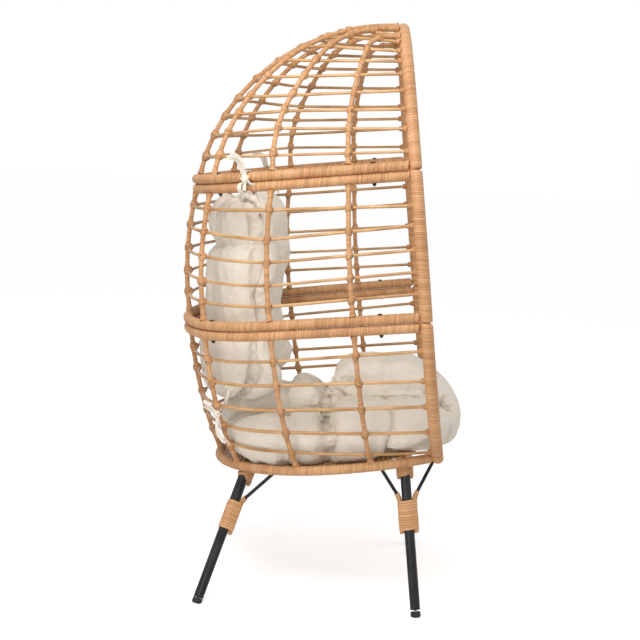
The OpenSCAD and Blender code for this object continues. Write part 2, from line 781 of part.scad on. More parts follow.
for (leg = LEGS, side = ["left", "right"]) {
  name = str("_", leg[0], "_", side);
  leg_tube(leg[1], side);
  socket(leg[1], side);
  braces(leg[1], side);
  binding(leg[1], side);
  insert(leg[1], side);
  stem(leg[1], side);
  pad(leg[1], side);
}
seat_cushion();
back_cushion();
back_cushion_ties();
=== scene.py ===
"""Standing egg chair: a wicker-bound shell in three bolted sections with lashed canes, braced
tube legs on levelling feet, and two tufted cushions.

All sizes are in metres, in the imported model's frame: the chair faces -Y and stands on z = 0.
The shell is worked out upright, with its rim plane at y = 0 and its base ring at z = 0, and
to_chair() then reclines and lifts it. Surfaces are arrays of points on a grid.
"""

import math

import bpy
import numpy as np
from mathutils import Matrix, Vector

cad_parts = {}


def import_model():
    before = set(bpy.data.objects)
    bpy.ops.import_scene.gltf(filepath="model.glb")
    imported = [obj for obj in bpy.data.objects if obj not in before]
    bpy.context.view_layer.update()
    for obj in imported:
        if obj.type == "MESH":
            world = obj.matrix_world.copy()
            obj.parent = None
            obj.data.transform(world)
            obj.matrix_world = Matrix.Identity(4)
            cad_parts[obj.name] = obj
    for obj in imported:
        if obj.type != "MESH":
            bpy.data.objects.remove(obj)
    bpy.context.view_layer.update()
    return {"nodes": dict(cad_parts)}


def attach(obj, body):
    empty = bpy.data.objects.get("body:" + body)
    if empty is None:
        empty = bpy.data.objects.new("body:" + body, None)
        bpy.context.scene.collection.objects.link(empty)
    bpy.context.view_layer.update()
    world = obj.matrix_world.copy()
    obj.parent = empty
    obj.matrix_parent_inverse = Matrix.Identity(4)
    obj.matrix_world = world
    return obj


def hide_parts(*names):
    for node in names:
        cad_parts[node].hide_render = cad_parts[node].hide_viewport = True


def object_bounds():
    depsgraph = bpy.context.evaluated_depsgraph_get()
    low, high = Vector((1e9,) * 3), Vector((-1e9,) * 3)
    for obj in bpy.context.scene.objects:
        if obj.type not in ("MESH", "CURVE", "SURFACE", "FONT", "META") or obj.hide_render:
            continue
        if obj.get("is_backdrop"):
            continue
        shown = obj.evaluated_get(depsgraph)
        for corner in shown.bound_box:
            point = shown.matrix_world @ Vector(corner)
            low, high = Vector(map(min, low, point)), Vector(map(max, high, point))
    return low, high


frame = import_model()

# ---- Sizes ----

RECLINE = math.radians(7.3)
SEAT_FRAME_H = 0.388
LOWER_H, MIDDLE_H, CANOPY_H = 0.362, 0.354, 0.368
SHELL_W, SHELL_D = 0.846, 0.613
SEAM_WAIST, WAIST_SPREAD = 0.005, 0.04
FRONT_BAR_W, FRONT_BAR_OUT, BASE_W, BASE_D = 0.504, 0.009, 0.632, 0.562
RIM_R, RING_R, RIB_R, CANE_R = 0.015, 0.012, 0.006, 0.004
LEG_R, BRACE_R = 0.0125, 0.0045
FOOT_SPACING_W, SPLAY = 0.640, (-0.0481, 0.0953)
WRAP_L, PAD_L, STEM_R = 0.074, 0.014, 0.004
FOOT_OUT = (0.006, 0.001)
SEAT_CUSHION_W, SEAT_CUSHION_D = 0.590, 0.612
BACK_CUSHION_W, BACK_CUSHION_H, BACK_CUSHION_T = 0.510, 0.524, 0.150

SEAM_LOW = LOWER_H
SEAM_HIGH = LOWER_H + MIDDLE_H
CROWN_Z = SEAM_HIGH + CANOPY_H
SEAM_GAP = 0.0003
RING_STEP = RING_R + SEAM_GAP / 2
RIM_TOP_Z = CROWN_Z - RIM_R - 0.001
EMBED = 0.0005
BASE_R = BASE_W / 2
BASE_MID_Y = BASE_D - BASE_R
REAR, RIM = 0, 4
SHARE_X = (0, 0.627, 0.896, 0.951, 1)
SHARE_Y = (1, 0.885, 0.605, 0.28, 0)
SWEEP = (0, 0, 0.025, 0.012, 0)
SIDE_POWER, BACK_POWER, BASE_POWER = 2.3, 2.42, 2.2
INNER_SHARE, KNEE_SHARE = 0.42, 0.27
CROWN_STEP, CROWN_WAY = 0.056, (0, 0.82, 0.57)
FURTHEST_BACK, FRONT_REACH = 0.06, 0.0645
BASE_PLAN = (
    (0, BASE_D),
    (0.61 * BASE_R, BASE_MID_Y + 0.792 * BASE_R),
    (0.955 * BASE_R, BASE_MID_Y + 0.297 * BASE_R),
    (0.965 * BASE_R, 0.28 * BASE_D),
    (FRONT_BAR_W / 2, -FRONT_BAR_OUT),
)
TO_THE_SIDE = np.array([1.0, 0.0, 0.0])
TO_THE_BACK = np.array([0.0, 1.0, 0.0])
UP = np.array([0.0, 0.0, 1.0])

# ---- The shell's shape ----


def unit(v):
    """Vectors scaled to length 1."""
    return v / np.linalg.norm(v, axis=-1, keepdims=True)


def mix(a, b, t):
    """From a to b by the share t."""
    return a + (b - a) * t


def vec(*parts):
    """An array of floats from loose numbers."""
    return np.array(parts, float)


def dip(d, spread):
    """A soft bump of height 1 at d = 0: exp(-d^2 / (2 spread^2))."""
    return np.exp(-d * d / (2 * spread * spread))


def draw_in(z, top, n):
    """How far the shell has drawn in at height z, on a superellipse of power n up to top."""
    if z <= SEAM_LOW:
        return 1.0
    return max(0.0, 1 - ((z - SEAM_LOW) / (top - SEAM_LOW)) ** n) ** (1 / n)


def station(k, z):
    """The middle of rib k at height z: the shell's plan turns into the base ring's below the
    lower seam, by a share ((seam - z) / seam) ^ 2.2, and has a slight waist at the upper one."""
    in_canopy = min(1.0, max(0.0, (z - SEAM_HIGH) / (0.3 * CANOPY_H)))
    shell = vec(
        SHELL_W / 2 * SHARE_X[k] * draw_in(z, CROWN_Z, SIDE_POWER),
        SHELL_D * (SHARE_Y[k] + SWEEP[k] * in_canopy) * draw_in(z, CROWN_Z, BACK_POWER)
        - SEAM_WAIST * SHARE_Y[k] * dip(z - SEAM_HIGH, WAIST_SPREAD),
    )
    share = 0 if z >= SEAM_LOW else ((SEAM_LOW - z) / SEAM_LOW) ** BASE_POWER
    return np.append(mix(shell, vec(*BASE_PLAN[k]), share), z)


def inwards(k, z):
    """The level direction from rib k to a point on the middle line, 42 % of the depth in."""
    return unit(vec(0, INNER_SHARE * station(REAR, z)[1], z) - station(k, z))


BACK_Z = SEAM_LOW + FURTHEST_BACK
BACK_REACH = (SHELL_D + 2 * RIB_R) * math.cos(RECLINE) + BACK_Z * math.sin(RECLINE)
SHELL_Y = -(BACK_REACH - FRONT_REACH) / 2
TURN = np.array(
    [
        [1, 0, 0],
        [0, math.cos(RECLINE), math.sin(RECLINE)],
        [0, -math.sin(RECLINE), math.cos(RECLINE)],
    ]
)


def to_chair(p):
    """From the upright shell's frame to the chair's: a turn about X and a lift."""
    return np.asarray(p) @ TURN.T + vec(0, SHELL_Y, SEAT_FRAME_H)


def mirrored(p):
    """Points on the chair's other side."""
    return np.asarray(p) * vec(-1, 1, 1)


def straight(p, q, count=2):
    """Evenly spaced points from p to q."""
    return mix(np.asarray(p), np.asarray(q), np.linspace(0, 1, count)[:, None])


def arc(p, t, q, step=0.002):
    """Points on the circle that leaves p along t and comes to q:
    p + r ((1 - cos a) s + sin a t), with s across t in the plane of the arc."""
    chord = q - p
    side = np.cross(np.cross(t, chord), t)
    if np.linalg.norm(side) < 1e-9:
        return straight(p, q, 9)
    s = unit(side)
    radius = chord @ chord / (2 * chord @ s)
    turn = 2 * math.atan2(chord @ s, chord @ t)
    a = np.linspace(0, turn, max(8, int(radius * turn / step)))[:, None]
    return p + radius * ((1 - np.cos(a)) * s + np.sin(a) * t)


def chain(points, t):
    """Arcs that run on smoothly through the points, leaving the first along t."""
    parts = []
    for p, q in zip(points, points[1:]):
        parts.append(arc(p, t, q)[:-1])
        chord = unit(q - p)
        t = 2 * (t @ chord) * chord - t
    return np.vstack([*parts, points[-1]])


def even_chain(points, t):
    """Arcs through the points that climb evenly from each to the next: each leaves along the
    direction that crosses the ground as t does and lies level across its chord."""
    parts = []
    for p, q in zip(points, points[1:]):
        chord = unit(q - p)
        n = np.cross(chord, np.cross(UP, chord))
        start = unit(vec(t[0], t[1], -(t[0] * n[0] + t[1] * n[1]) / n[2]))
        parts.append(arc(p, start, q)[:-1])
        t = 2 * (start @ chord) * chord - start
    return np.vstack([*parts, points[-1]])


def first_tangent(a, b, c):
    """The tangent at a of the circle through a, b and c."""
    ab, ac = b - a, c - a
    return unit(ab / (ab @ ab) - ac / (ac @ ac))


def both_ways(half):
    """A path from its mirror image's end, through its start on the middle line, to its end."""
    return np.vstack([mirrored(half)[::-1], half[1:]])


def ring_points(seam):
    """Where a seam's ring crosses the ribs, from the rear to its end in the rim."""
    points = [station(k, seam) for k in (REAR, 1, 2)]
    points.append(station(RIM, seam) + vec(-0.002, RIM_R - EMBED, 0))
    return points


def ring_path(z, seam):
    """The middle of a ring at height z, in the plan of a seam."""
    lift = vec(0, 0, z - seam)
    return both_ways(chain([p + lift for p in ring_points(seam)], TO_THE_SIDE))


def rim_x(z):
    """Half the rim's width at height z."""
    return SHELL_W / 2 * draw_in(z, RIM_TOP_Z, SIDE_POWER)


def rim_z(x):
    """The rim's height at x from the middle line."""
    high = (1 - (x / (SHELL_W / 2)) ** SIDE_POWER) ** (1 / SIDE_POWER)
    return SEAM_LOW + (RIM_TOP_Z - SEAM_LOW) * high


def lower_rib(k):
    """From the lower seam down over a knee to the base ring."""
    top = SEAM_LOW - RING_STEP - RING_R + EMBED
    knee = KNEE_SHARE * LOWER_H
    a, c = station(k, top), station(k, knee)
    t = first_tangent(a, station(k, (top + knee) / 2), c)
    return chain([a, c, station(k, 0) + vec(0, 0, RING_R - EMBED)], t)


def middle_rib(k):
    """From the upper seam down to the lower one."""
    top = SEAM_HIGH - RING_STEP - RING_R + EMBED
    low = SEAM_LOW + RING_STEP + RING_R - EMBED
    a, c = station(k, top), station(k, low)
    return arc(a, first_tangent(a, station(k, (top + low) / 2), c), c)


def canopy_rib(k):
    """Up from the upper seam and over to the rim, where the ribs stand 56 mm apart."""
    foot = SEAM_HIGH + RING_STEP + RING_R - EMBED
    low, high = SEAM_HIGH + 0.5 * CANOPY_H, SEAM_HIGH + 0.82 * CANOPY_H
    x = CROWN_STEP * k
    crown = vec(x, 0, rim_z(x)) + (RIM_R - EMBED) * unit(vec(*CROWN_WAY))
    a, b = station(k, foot), station(k, low)
    t = first_tangent(a, station(k, (foot + low) / 2), b)
    return chain([a, b, station(k, high), crown], t)


SECTIONS = {
    "lower": (0.0, LOWER_H, lower_rib),
    "middle": (SEAM_LOW, MIDDLE_H, middle_rib),
    "canopy": (SEAM_HIGH, CANOPY_H, canopy_rib),
}
# Each cane's heights at the left rim, left rib 2, the rear rib, right rib 2 and the right rim,
# as shares of its section's height. They are laid by hand, and the sides differ a little.
LEVELS = {
    "lower": (
        (0.06, 0.12, 0.18, 0.14, 0.05),
        (0.23, 0.28, 0.32, 0.29, 0.22),
        (0.41, 0.43, 0.465, 0.45, 0.42),
        (0.55, 0.57, 0.635, 0.625, 0.605),
        (0.86, 0.85, 0.79, 0.79, 0.81),
    ),
    "middle": (
        (0.18, 0.215, 0.2, 0.16, 0.19),
        (0.325, 0.36, 0.36, 0.3, 0.335),
        (0.5, 0.525, 0.53, 0.455, 0.48),
        (0.68, 0.69, 0.7, 0.61, 0.64),
        (0.825, 0.835, 0.84, 0.805, 0.77),
    ),
    "canopy": (
        (0.14, 0.2, 0.18, 0.16, 0.12),
        (0.28, 0.3, 0.32, 0.33, 0.265),
        (0.355, 0.4, 0.45, 0.44, 0.39),
        (0.445, 0.5, 0.565, 0.54, 0.51),
        (0.58, 0.635, 0.69, 0.66, 0.62),
        (0.715, 0.76, 0.8, 0.76, 0.705),
        (0.805, 0.845, 0.88, 0.85, 0.775),
        (0.87, 0.91, 0.93, 0.915, 0.84),
        (0.92, 0.955, 0.965, 0.955, 0.89),
    ),
}


def cane_path(heights):
    """A cane runs inside the ribs, from the right rim round the back to the left one."""
    rear = heights[2]
    halves = []
    for rim, side in ((heights[0], heights[1]), (heights[4], heights[3])):
        first = mix(side, rear, (SHARE_Y[1] - SHARE_Y[2]) / (1 - SHARE_Y[2]))
        points = [
            station(k, z) + (RIB_R + CANE_R) * inwards(k, z)
            for k, z in ((REAR, rear), (1, first), (2, side))
        ]
        points.append(station(RIM, rim) + vec(-0.004, RIM_R - EMBED, 0))
        halves.append(even_chain(points, TO_THE_SIDE))
    left, right = halves
    return np.vstack([mirrored(right)[::-1], left[1:]])


# ---- Surfaces ----


def lengths(path):
    """How far along the path each point lies."""
    return np.append(0, np.cumsum(np.linalg.norm(np.diff(path, axis=0), axis=1)))


def along(path, s):
    """The points at distances s along the path; past its ends it runs straight on."""
    run = lengths(path)
    inside = np.clip(s, 0, run[-1])
    points = np.stack([np.interp(inside, run, path[:, i]) for i in range(3)], -1)
    start, end = unit(path[1] - path[0]), unit(path[-1] - path[-2])
    return points + np.minimum(s, 0)[:, None] * start + np.maximum(s - run[-1], 0)[:, None] * end


def grid(points, u):
    """A surface over rows and columns of points. Each row closes on itself, and the end rows
    close to their middles. The UV map holds u along the rows and 0 to 1 round them."""
    rows, cols = points.shape[:2]
    here = np.arange(rows * cols).reshape(rows, cols)
    after = np.roll(here, -1, axis=1)
    quads = np.stack([here[:-1], after[:-1], after[1:], here[1:]], -1).reshape(-1, 4)
    v0, v1 = np.arange(cols) / cols, (np.arange(cols) + 1) / cols
    low = np.broadcast_to(u[:-1, None], (rows - 1, cols))
    high = np.broadcast_to(u[1:, None], (rows - 1, cols))
    v0s, v1s = np.broadcast_to(v0, low.shape), np.broadcast_to(v1, low.shape)
    quad_uv = np.stack([low, v0s, low, v1s, high, v1s, high, v0s], -1).reshape(-1, 2)
    flat = points.reshape(-1, 3)
    first, last = rows * cols, rows * cols + 1
    flat = np.vstack([flat, points[0].mean(0), points[-1].mean(0)])
    start = np.stack([after[0], here[0], np.full(cols, first)], -1)
    end = np.stack([here[-1], after[-1], np.full(cols, last)], -1)
    start_uv = np.stack([np.full((3, cols), u[0]), [v1, v0, v0]], -1).swapaxes(0, 1)
    end_uv = np.stack([np.full((3, cols), u[-1]), [v0, v1, v0]], -1).swapaxes(0, 1)
    tri_uv = np.vstack([start_uv, end_uv]).reshape(-1, 2)
    return flat, quads, quad_uv, np.vstack([start, end]), tri_uv


def tube(path, side, radius, s, around, u=None, lean=0.0, cap=0.0, oval=(1, 1)):
    """A bar round a path: p(s) + r(s) (cos a n + sin a b), where n lies across the path and
    side, and b across both. Its ends round off over the length cap; lean slants its rows."""
    u = s if u is None else u
    points = along(path, s)
    t = unit(np.gradient(points, axis=0))
    n = unit(np.cross(t, side))
    b = np.cross(t, n)
    r = np.broadcast_to(np.asarray(radius, float), (len(s),)).copy()
    if cap:
        near = np.clip(np.minimum(s - s[0], s[-1] - s) / cap, 0, 1)
        r *= 0.35 + 0.65 * np.sqrt(1 - (1 - near) ** 2)
    a = 2 * math.pi * np.arange(around) / around
    wide, deep = oval
    ring = wide * np.cos(a)[:, None] * n[:, None] + deep * np.sin(a)[:, None] * b[:, None]
    slant = (lean * np.sin(a))[:, None] * t[:, None]
    return grid(points[:, None] + r[:, None, None] * ring + slant, u)


def turns(run, pitch, seed):
    """Rows of a bound strand, four to a turn: their places, turn numbers and heights."""
    rng = np.random.default_rng(seed)
    count = max(2, round(run / pitch))
    width = 1 + 0.18 * rng.uniform(-1, 1, count)
    edge = run * np.append(0, np.cumsum(width)) / width.sum()
    share = vec(0, 0.15, 0.5, 0.85)
    s = (edge[:-1, None] + np.diff(edge)[:, None] * share).ravel()
    u = (np.arange(count)[:, None] + share).ravel()
    height = (vec(-1, 0, 0.2, 0) + 0.22 * rng.normal(size=(count, 1))).ravel()
    height[0::4] = -1
    return np.append(s, run), np.append(u, count) + 400 * seed, np.append(height, -1)


def wound(path, side, radius, seed, pitch=0.0056, relief=0.00045, around=16, cap=0.004, flare=0):
    """A bar bound with flat strand: its radius rises over each turn and drops into the groove
    between two. flare widens the ends where they are tied to a ring."""
    run = lengths(path)[-1]
    s, u, height = turns(run, pitch, seed)
    end = np.exp(-np.minimum(s, run - s) / 0.007)
    r = radius + relief * height + flare * end
    return tube(path, side, r, s=s, around=around, u=u, lean=0.3 * pitch, cap=cap)


def piece(name, surfaces, finish, body="chair", replaces=()):
    """One mesh from several surfaces, in the chair's frame, riding on a body."""
    starts = np.append(0, np.cumsum([len(s[0]) for s in surfaces]))
    points = np.vstack([s[0] for s in surfaces]).astype(np.float32)
    quads = np.vstack([s[1] + o for s, o in zip(surfaces, starts)])
    tris = np.vstack([s[3] + o for s, o in zip(surfaces, starts)])
    uv = np.vstack([s[2] for s in surfaces] + [s[4] for s in surfaces]).astype(np.float32)
    corners = np.concatenate([quads.ravel(), tris.ravel()]).astype(np.int32)
    first = np.concatenate(
        [4 * np.arange(len(quads)), 4 * len(quads) + 3 * np.arange(len(tris))]
    ).astype(np.int32)
    mesh = bpy.data.meshes.new(name)
    mesh.vertices.add(len(points))
    mesh.vertices.foreach_set("co", points.ravel())
    mesh.loops.add(len(corners))
    mesh.loops.foreach_set("vertex_index", corners)
    mesh.polygons.add(len(first))
    mesh.polygons.foreach_set("loop_start", first)
    mesh.polygons.foreach_set("use_smooth", np.ones(len(first), bool))
    mesh.update(calc_edges=True)
    mesh.uv_layers.new(name="UVMap").data.foreach_set("uv", uv.ravel())
    mesh.materials.append(finish)
    obj = bpy.data.objects.new(name, mesh)
    bpy.context.scene.collection.objects.link(obj)
    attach(obj, body)
    if replaces:
        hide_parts(*replaces)
    return obj


# ---- Materials ----


def node(tree, kind, settings=None, inputs=None):
    """Adds a shader node. inputs maps a socket's name or number to a value or a socket."""
    n = tree.nodes.new(kind)
    for key, value in (settings or {}).items():
        setattr(n, key, value)
    for key, value in (inputs or {}).items():
        if isinstance(value, bpy.types.NodeSocket):
            tree.links.new(value, n.inputs[key])
        else:
            n.inputs[key].default_value = value
    return n


def calc(tree, what, *values):
    """A maths node's value."""
    return node(tree, "ShaderNodeMath", {"operation": what}, dict(enumerate(values))).outputs[0]


def weighted(tree, *terms):
    """The sum of values, each times its weight."""
    parts = [calc(tree, "MULTIPLY", value, weight) for value, weight in terms]
    total = parts[0]
    for part in parts[1:]:
        total = calc(tree, "ADD", total, part)
    return total


def ramp(tree, value, *stops):
    """A colour by a value, blended between stops of (place, colour)."""
    n = node(tree, "ShaderNodeValToRGB", None, {0: value})
    marks = n.color_ramp.elements
    while len(marks) < len(stops):
        marks.new(0.5)
    for mark, (at, colour) in zip(marks, stops):
        mark.position = at
        mark.color = (*colour, 1)
    return n.outputs[0]


def blend_colours(tree, share, a, b):
    """From colour a to colour b by a share."""
    return node(tree, "ShaderNodeMix", {"data_type": "RGBA"}, {0: share, 6: a, 7: b}).outputs[2]


def smooth_step(tree, value, low, high, to_low=0.0, to_high=1.0):
    """A value carried smoothly from low..high to to_low..to_high."""
    ends = {0: value, 1: low, 2: high, 3: to_low, 4: to_high}
    n = node(tree, "ShaderNodeMapRange", {"interpolation_type": "SMOOTHSTEP"}, ends)
    return n.outputs[0]


def noise(tree, vector, scale, detail=2.0, rough=0.5):
    """A noise texture's value, about 0.5 in the middle."""
    inputs = {"Vector": vector, "Scale": scale, "Detail": detail, "Roughness": rough}
    return node(tree, "ShaderNodeTexNoise", None, inputs).outputs[0]


def round_place(tree, parts, rate, radius):
    """A place on a cylinder, from a UV map of length and share round the bar, so that a noise
    read there has no seam."""
    angle = calc(tree, "MULTIPLY", parts[1], 2 * math.pi)
    sockets = {0: calc(tree, "MULTIPLY", parts[0], rate)}
    for number, what in ((1, "COSINE"), (2, "SINE")):
        sockets[number] = calc(tree, "MULTIPLY", calc(tree, what, angle), radius)
    return node(tree, "ShaderNodeCombineXYZ", None, sockets).outputs[0]


def group(name, inputs, outputs):
    """A shader node group with named sockets: returns its tree, input and output nodes."""
    tree = bpy.data.node_groups.new(name, "ShaderNodeTree")
    for socket, kind in inputs:
        tree.interface.new_socket(socket, in_out="INPUT", socket_type=kind)
    for socket, kind in outputs:
        tree.interface.new_socket(socket, in_out="OUTPUT", socket_type=kind)
    return tree, tree.nodes.new("NodeGroupInput"), tree.nodes.new("NodeGroupOutput")


def use_group(tree, made, **inputs):
    """Adds a made group with its inputs set: returns its outputs."""
    return node(tree, "ShaderNodeGroup", {"node_tree": made}, inputs).outputs


def bound_strand():
    """Turns of flat strand on a UV map of turn number and share round the bar. Tint is one
    value a turn, Groove is 1 between two turns, and Fibre runs along the strand."""
    tree, start, end = group(
        "bound strand",
        [("UV", "NodeSocketVector")],
        [(n, "NodeSocketFloat") for n in ("Tint", "Groove", "Fibre", "Height")],
    )
    parts = node(tree, "ShaderNodeSeparateXYZ", None, {0: start.outputs["UV"]}).outputs
    turn = calc(tree, "FLOOR", parts[0])
    across = calc(tree, "SUBTRACT", parts[0], turn)
    tint = node(tree, "ShaderNodeTexWhiteNoise", {"noise_dimensions": "1D"}, {"W": turn})
    fibre = noise(tree, round_place(tree, parts, 7.0, 1.1), 1.0, 3.0, 0.6)
    off = calc(tree, "ABSOLUTE", calc(tree, "SUBTRACT", across, 0.5))
    groove = smooth_step(tree, off, 0.34, 0.5)
    height = calc(tree, "SUBTRACT", calc(tree, "MULTIPLY", fibre, 0.35), groove)
    for socket, value in (
        ("Tint", tint.outputs["Value"]),
        ("Groove", groove),
        ("Fibre", fibre),
        ("Height", height),
    ):
        tree.links.new(value, end.inputs[socket])
    return tree


def weathering():
    """Soft patches on Object coordinates, from about 0 to 1."""
    tree, start, end = group(
        "weathering",
        [("Vector", "NodeSocketVector"), ("Scale", "NodeSocketFloat")],
        [("Patches", "NodeSocketFloat")],
    )
    patches = noise(tree, start.outputs[0], start.outputs[1], 3.0)
    tree.links.new(smooth_step(tree, patches, 0.35, 0.65), end.inputs[0])
    return tree


def plain_weave():
    """Threads over and under on Object coordinates: the height is the larger of two sets of
    ridges, each cut by the other, and slubs are long soft thickenings."""
    tree, start, end = group(
        "plain weave",
        [("Vector", "NodeSocketVector"), ("Pitch", "NodeSocketFloat")],
        [("Height", "NodeSocketFloat"), ("Slubs", "NodeSocketFloat")],
    )
    wander = node(tree, "ShaderNodeTexNoise", None, {"Vector": start.outputs[0], "Scale": 40.0})
    sway = {0: wander.outputs["Color"], 1: (0.0012, 0.0012, 0.0012), 2: start.outputs[0]}
    bent = node(tree, "ShaderNodeVectorMath", {"operation": "MULTIPLY_ADD"}, sway)
    parts = node(tree, "ShaderNodeSeparateXYZ", None, {0: bent.outputs[0]}).outputs
    rate = calc(tree, "DIVIDE", math.pi, start.outputs[1])
    waves = []
    for part, other in ((parts[0], parts[2]), (parts[1], parts[2]), (parts[0], parts[1])):
        a = calc(tree, "SINE", calc(tree, "MULTIPLY", part, rate))
        b = calc(tree, "SINE", calc(tree, "MULTIPLY", other, rate))
        waves.append(calc(tree, "MULTIPLY", a, b))
    total = calc(tree, "ADD", calc(tree, "ADD", waves[0], waves[1]), waves[2])
    long = {0: bent.outputs[0], 1: (35, 35, 420)}
    stretch = node(tree, "ShaderNodeVectorMath", {"operation": "MULTIPLY"}, long)
    slubs = noise(tree, stretch.outputs[0], 1.0, 2.0)
    tree.links.new(total, end.inputs["Height"])
    tree.links.new(slubs, end.inputs["Slubs"])
    return tree


def material(name, metallic=0.0, ior=1.45):
    """An empty material: its node tree, surface shader and texture coordinates."""
    made = bpy.data.materials.new(name)
    made.use_nodes = True
    tree = made.node_tree
    shader = tree.nodes["Principled BSDF"]
    shader.inputs["Metallic"].default_value = metallic
    shader.inputs["IOR"].default_value = ior
    return made, tree, shader, tree.nodes.new("ShaderNodeTexCoord").outputs


def patches_on(tree, coords, scale):
    """Soft patches over a piece, about 1 / scale metres across."""
    return use_group(tree, PATCHES, Vector=coords["Object"], Scale=scale)[0]


def bump(tree, shader, height, distance, strength=1.0):
    """Gives a surface relief: a height in metres is its value times the distance."""
    relief = {"Height": height, "Distance": distance, "Strength": strength}
    n = node(tree, "ShaderNodeBump", None, relief)
    tree.links.new(n.outputs[0], shader.inputs["Normal"])


STRAND = bound_strand()
PATCHES = weathering()
WEAVE = plain_weave()
WORN_COLOUR = (0.05, 0.048, 0.045, 1)


def bound_wicker(name, dark, mid, light, groove_colour):
    """Flat synthetic strand wound round a bar: each turn has its own tint, with fibres along
    it and shade in the grooves."""
    made, tree, shader, coords = material(name)
    strand = use_group(tree, STRAND, UV=coords["UV"])
    patches = patches_on(tree, coords, 7.0)
    patchy = calc(tree, "SUBTRACT", patches, 0.5)
    tone = weighted(tree, (strand["Tint"], 0.4), (strand["Fibre"], 0.6), (patchy, 0.22))
    colour = ramp(tree, tone, (0.15, dark), (0.5, mid), (0.85, light))
    shade = calc(tree, "MULTIPLY", strand["Groove"], 0.5)
    colour = blend_colours(tree, shade, colour, (*groove_colour, 1))
    tree.links.new(colour, shader.inputs["Base Color"])
    rough = smooth_step(tree, strand["Fibre"], 0.3, 0.7, 0.58, 0.42)
    tree.links.new(rough, shader.inputs["Roughness"])
    bump(tree, shader, strand["Height"], 0.0005)
    return made


def peeled_cane():
    """Round cane: long streaks along it and darker nodes, on a UV map in metres."""
    made, tree, shader, coords = material("peeled cane")
    parts = node(tree, "ShaderNodeSeparateXYZ", None, {0: coords["UV"]}).outputs
    streaks = noise(tree, round_place(tree, parts, 16.0, 1.6), 1.0, 4.0, 0.65)
    patches = patches_on(tree, coords, 11.0)
    tone = weighted(tree, (streaks, 0.8), (patches, 0.25))
    colour = ramp(
        tree,
        tone,
        (0.25, (0.30, 0.145, 0.052)),
        (0.52, (0.53, 0.295, 0.125)),
        (0.8, (0.70, 0.44, 0.215)),
    )
    tree.links.new(colour, shader.inputs["Base Color"])
    shader.inputs["Roughness"].default_value = 0.45
    bump(tree, shader, streaks, 0.0006)
    return made


def cushion_cloth():
    """Cream canvas: a fine plain weave with slubs, and faint soft patches."""
    made, tree, shader, coords = material("cushion canvas", ior=1.4)
    weave = use_group(tree, WEAVE, Vector=coords["Object"], Pitch=0.0011)
    patches = patches_on(tree, coords, 9.0)
    tone = weighted(tree, (weave["Slubs"], 0.7), (patches, 0.18))
    colour = ramp(tree, tone, (0.15, (0.80, 0.71, 0.595)), (0.7, (0.91, 0.845, 0.74)))
    thread = smooth_step(tree, weave["Height"], -0.6, 0.4, 0.93, 1.0)
    hue = node(tree, "ShaderNodeHueSaturation", None, {"Value": thread, "Color": colour})
    tree.links.new(hue.outputs[0], shader.inputs["Base Color"])
    shader.inputs["Roughness"].default_value = 0.9
    shader.inputs["Sheen Weight"].default_value = 0.12
    shader.inputs["Sheen Roughness"].default_value = 0.5
    bump(tree, shader, weave["Height"], 0.00025, 0.7)
    return made


def coated_steel(name, colour, rough, worn):
    """Powder coat: a fine orange peel, slightly duller patches and a thin satin gloss."""
    made, tree, shader, coords = material(name, ior=1.36)
    patches = patches_on(tree, coords, 22.0)
    peel = noise(tree, coords["Object"], 900.0, 1.0)
    share = calc(tree, "MULTIPLY", patches, worn)
    shade = blend_colours(tree, share, (*colour, 1), WORN_COLOUR)
    tree.links.new(shade, shader.inputs["Base Color"])
    duller = smooth_step(tree, patches, 0, 1, rough, rough + 0.12)
    tree.links.new(duller, shader.inputs["Roughness"])
    bump(tree, shader, peel, 0.00012, 0.5)
    return made


def plated():
    """Zinc plating: bright grey with fine scratches round the bar and dull patches."""
    made, tree, shader, coords = material("zinc plate", metallic=1.0)
    patches = patches_on(tree, coords, 60.0)
    grain = noise(tree, coords["Object"], 1400.0, 2.0)
    colour = ramp(tree, patches, (0.0, (0.42, 0.42, 0.43)), (1.0, (0.6, 0.6, 0.61)))
    tree.links.new(colour, shader.inputs["Base Color"])
    tree.links.new(smooth_step(tree, grain, 0.3, 0.7, 0.26, 0.42), shader.inputs["Roughness"])
    bump(tree, shader, grain, 0.00004, 0.4)
    return made


WICKER = bound_wicker(
    "bound wicker",
    (0.42, 0.2, 0.082),
    (0.57, 0.295, 0.13),
    (0.69, 0.39, 0.195),
    (0.24, 0.1, 0.04),
)
LASHING = bound_wicker(
    "lashing strand",
    (0.38, 0.175, 0.068),
    (0.55, 0.28, 0.12),
    (0.68, 0.38, 0.185),
    (0.22, 0.095, 0.04),
)
CANE = peeled_cane()
CLOTH = cushion_cloth()
BLACK_STEEL = coated_steel("black powder coat", (0.008, 0.008, 0.009), 0.3, 0.25)
BLACK_BOLT = coated_steel("black bolt finish", (0.012, 0.012, 0.012), 0.38, 0.6)
BLACK_PLASTIC = coated_steel("black moulded plastic", (0.014, 0.014, 0.015), 0.5, 0.3)
ZINC = plated()
SIDES = (("left", lambda p: np.asarray(p)), ("right", mirrored))

# ---- Rings, rim and ribs ----

UP_SHELL = TURN @ UP
BACK_SHELL = TURN @ TO_THE_BACK
RIB_BINDING = {"pitch": 0.0052, "relief": 0.0003, "around": 12, "cap": 0, "flare": 0.004}


def bound(name, bars):
    """A piece bound with strand, in place of the model's piece of that name."""
    piece(name + "_binding", bars, WICKER, replaces=(name,))


def section_ring(name, seed, seam, side):
    """A ring above a seam (side 1) or below it (side -1)."""
    path = to_chair(ring_path(seam + side * RING_STEP, seam))
    bound(name, [wound(path, UP_SHELL, RING_R, seed)])


section_ring("lower_top_ring", 1, SEAM_LOW, -1)
section_ring("middle_bottom_ring", 2, SEAM_LOW, 1)
section_ring("middle_top_ring", 3, SEAM_HIGH, -1)
section_ring("canopy_bottom_ring", 4, SEAM_HIGH, 1)

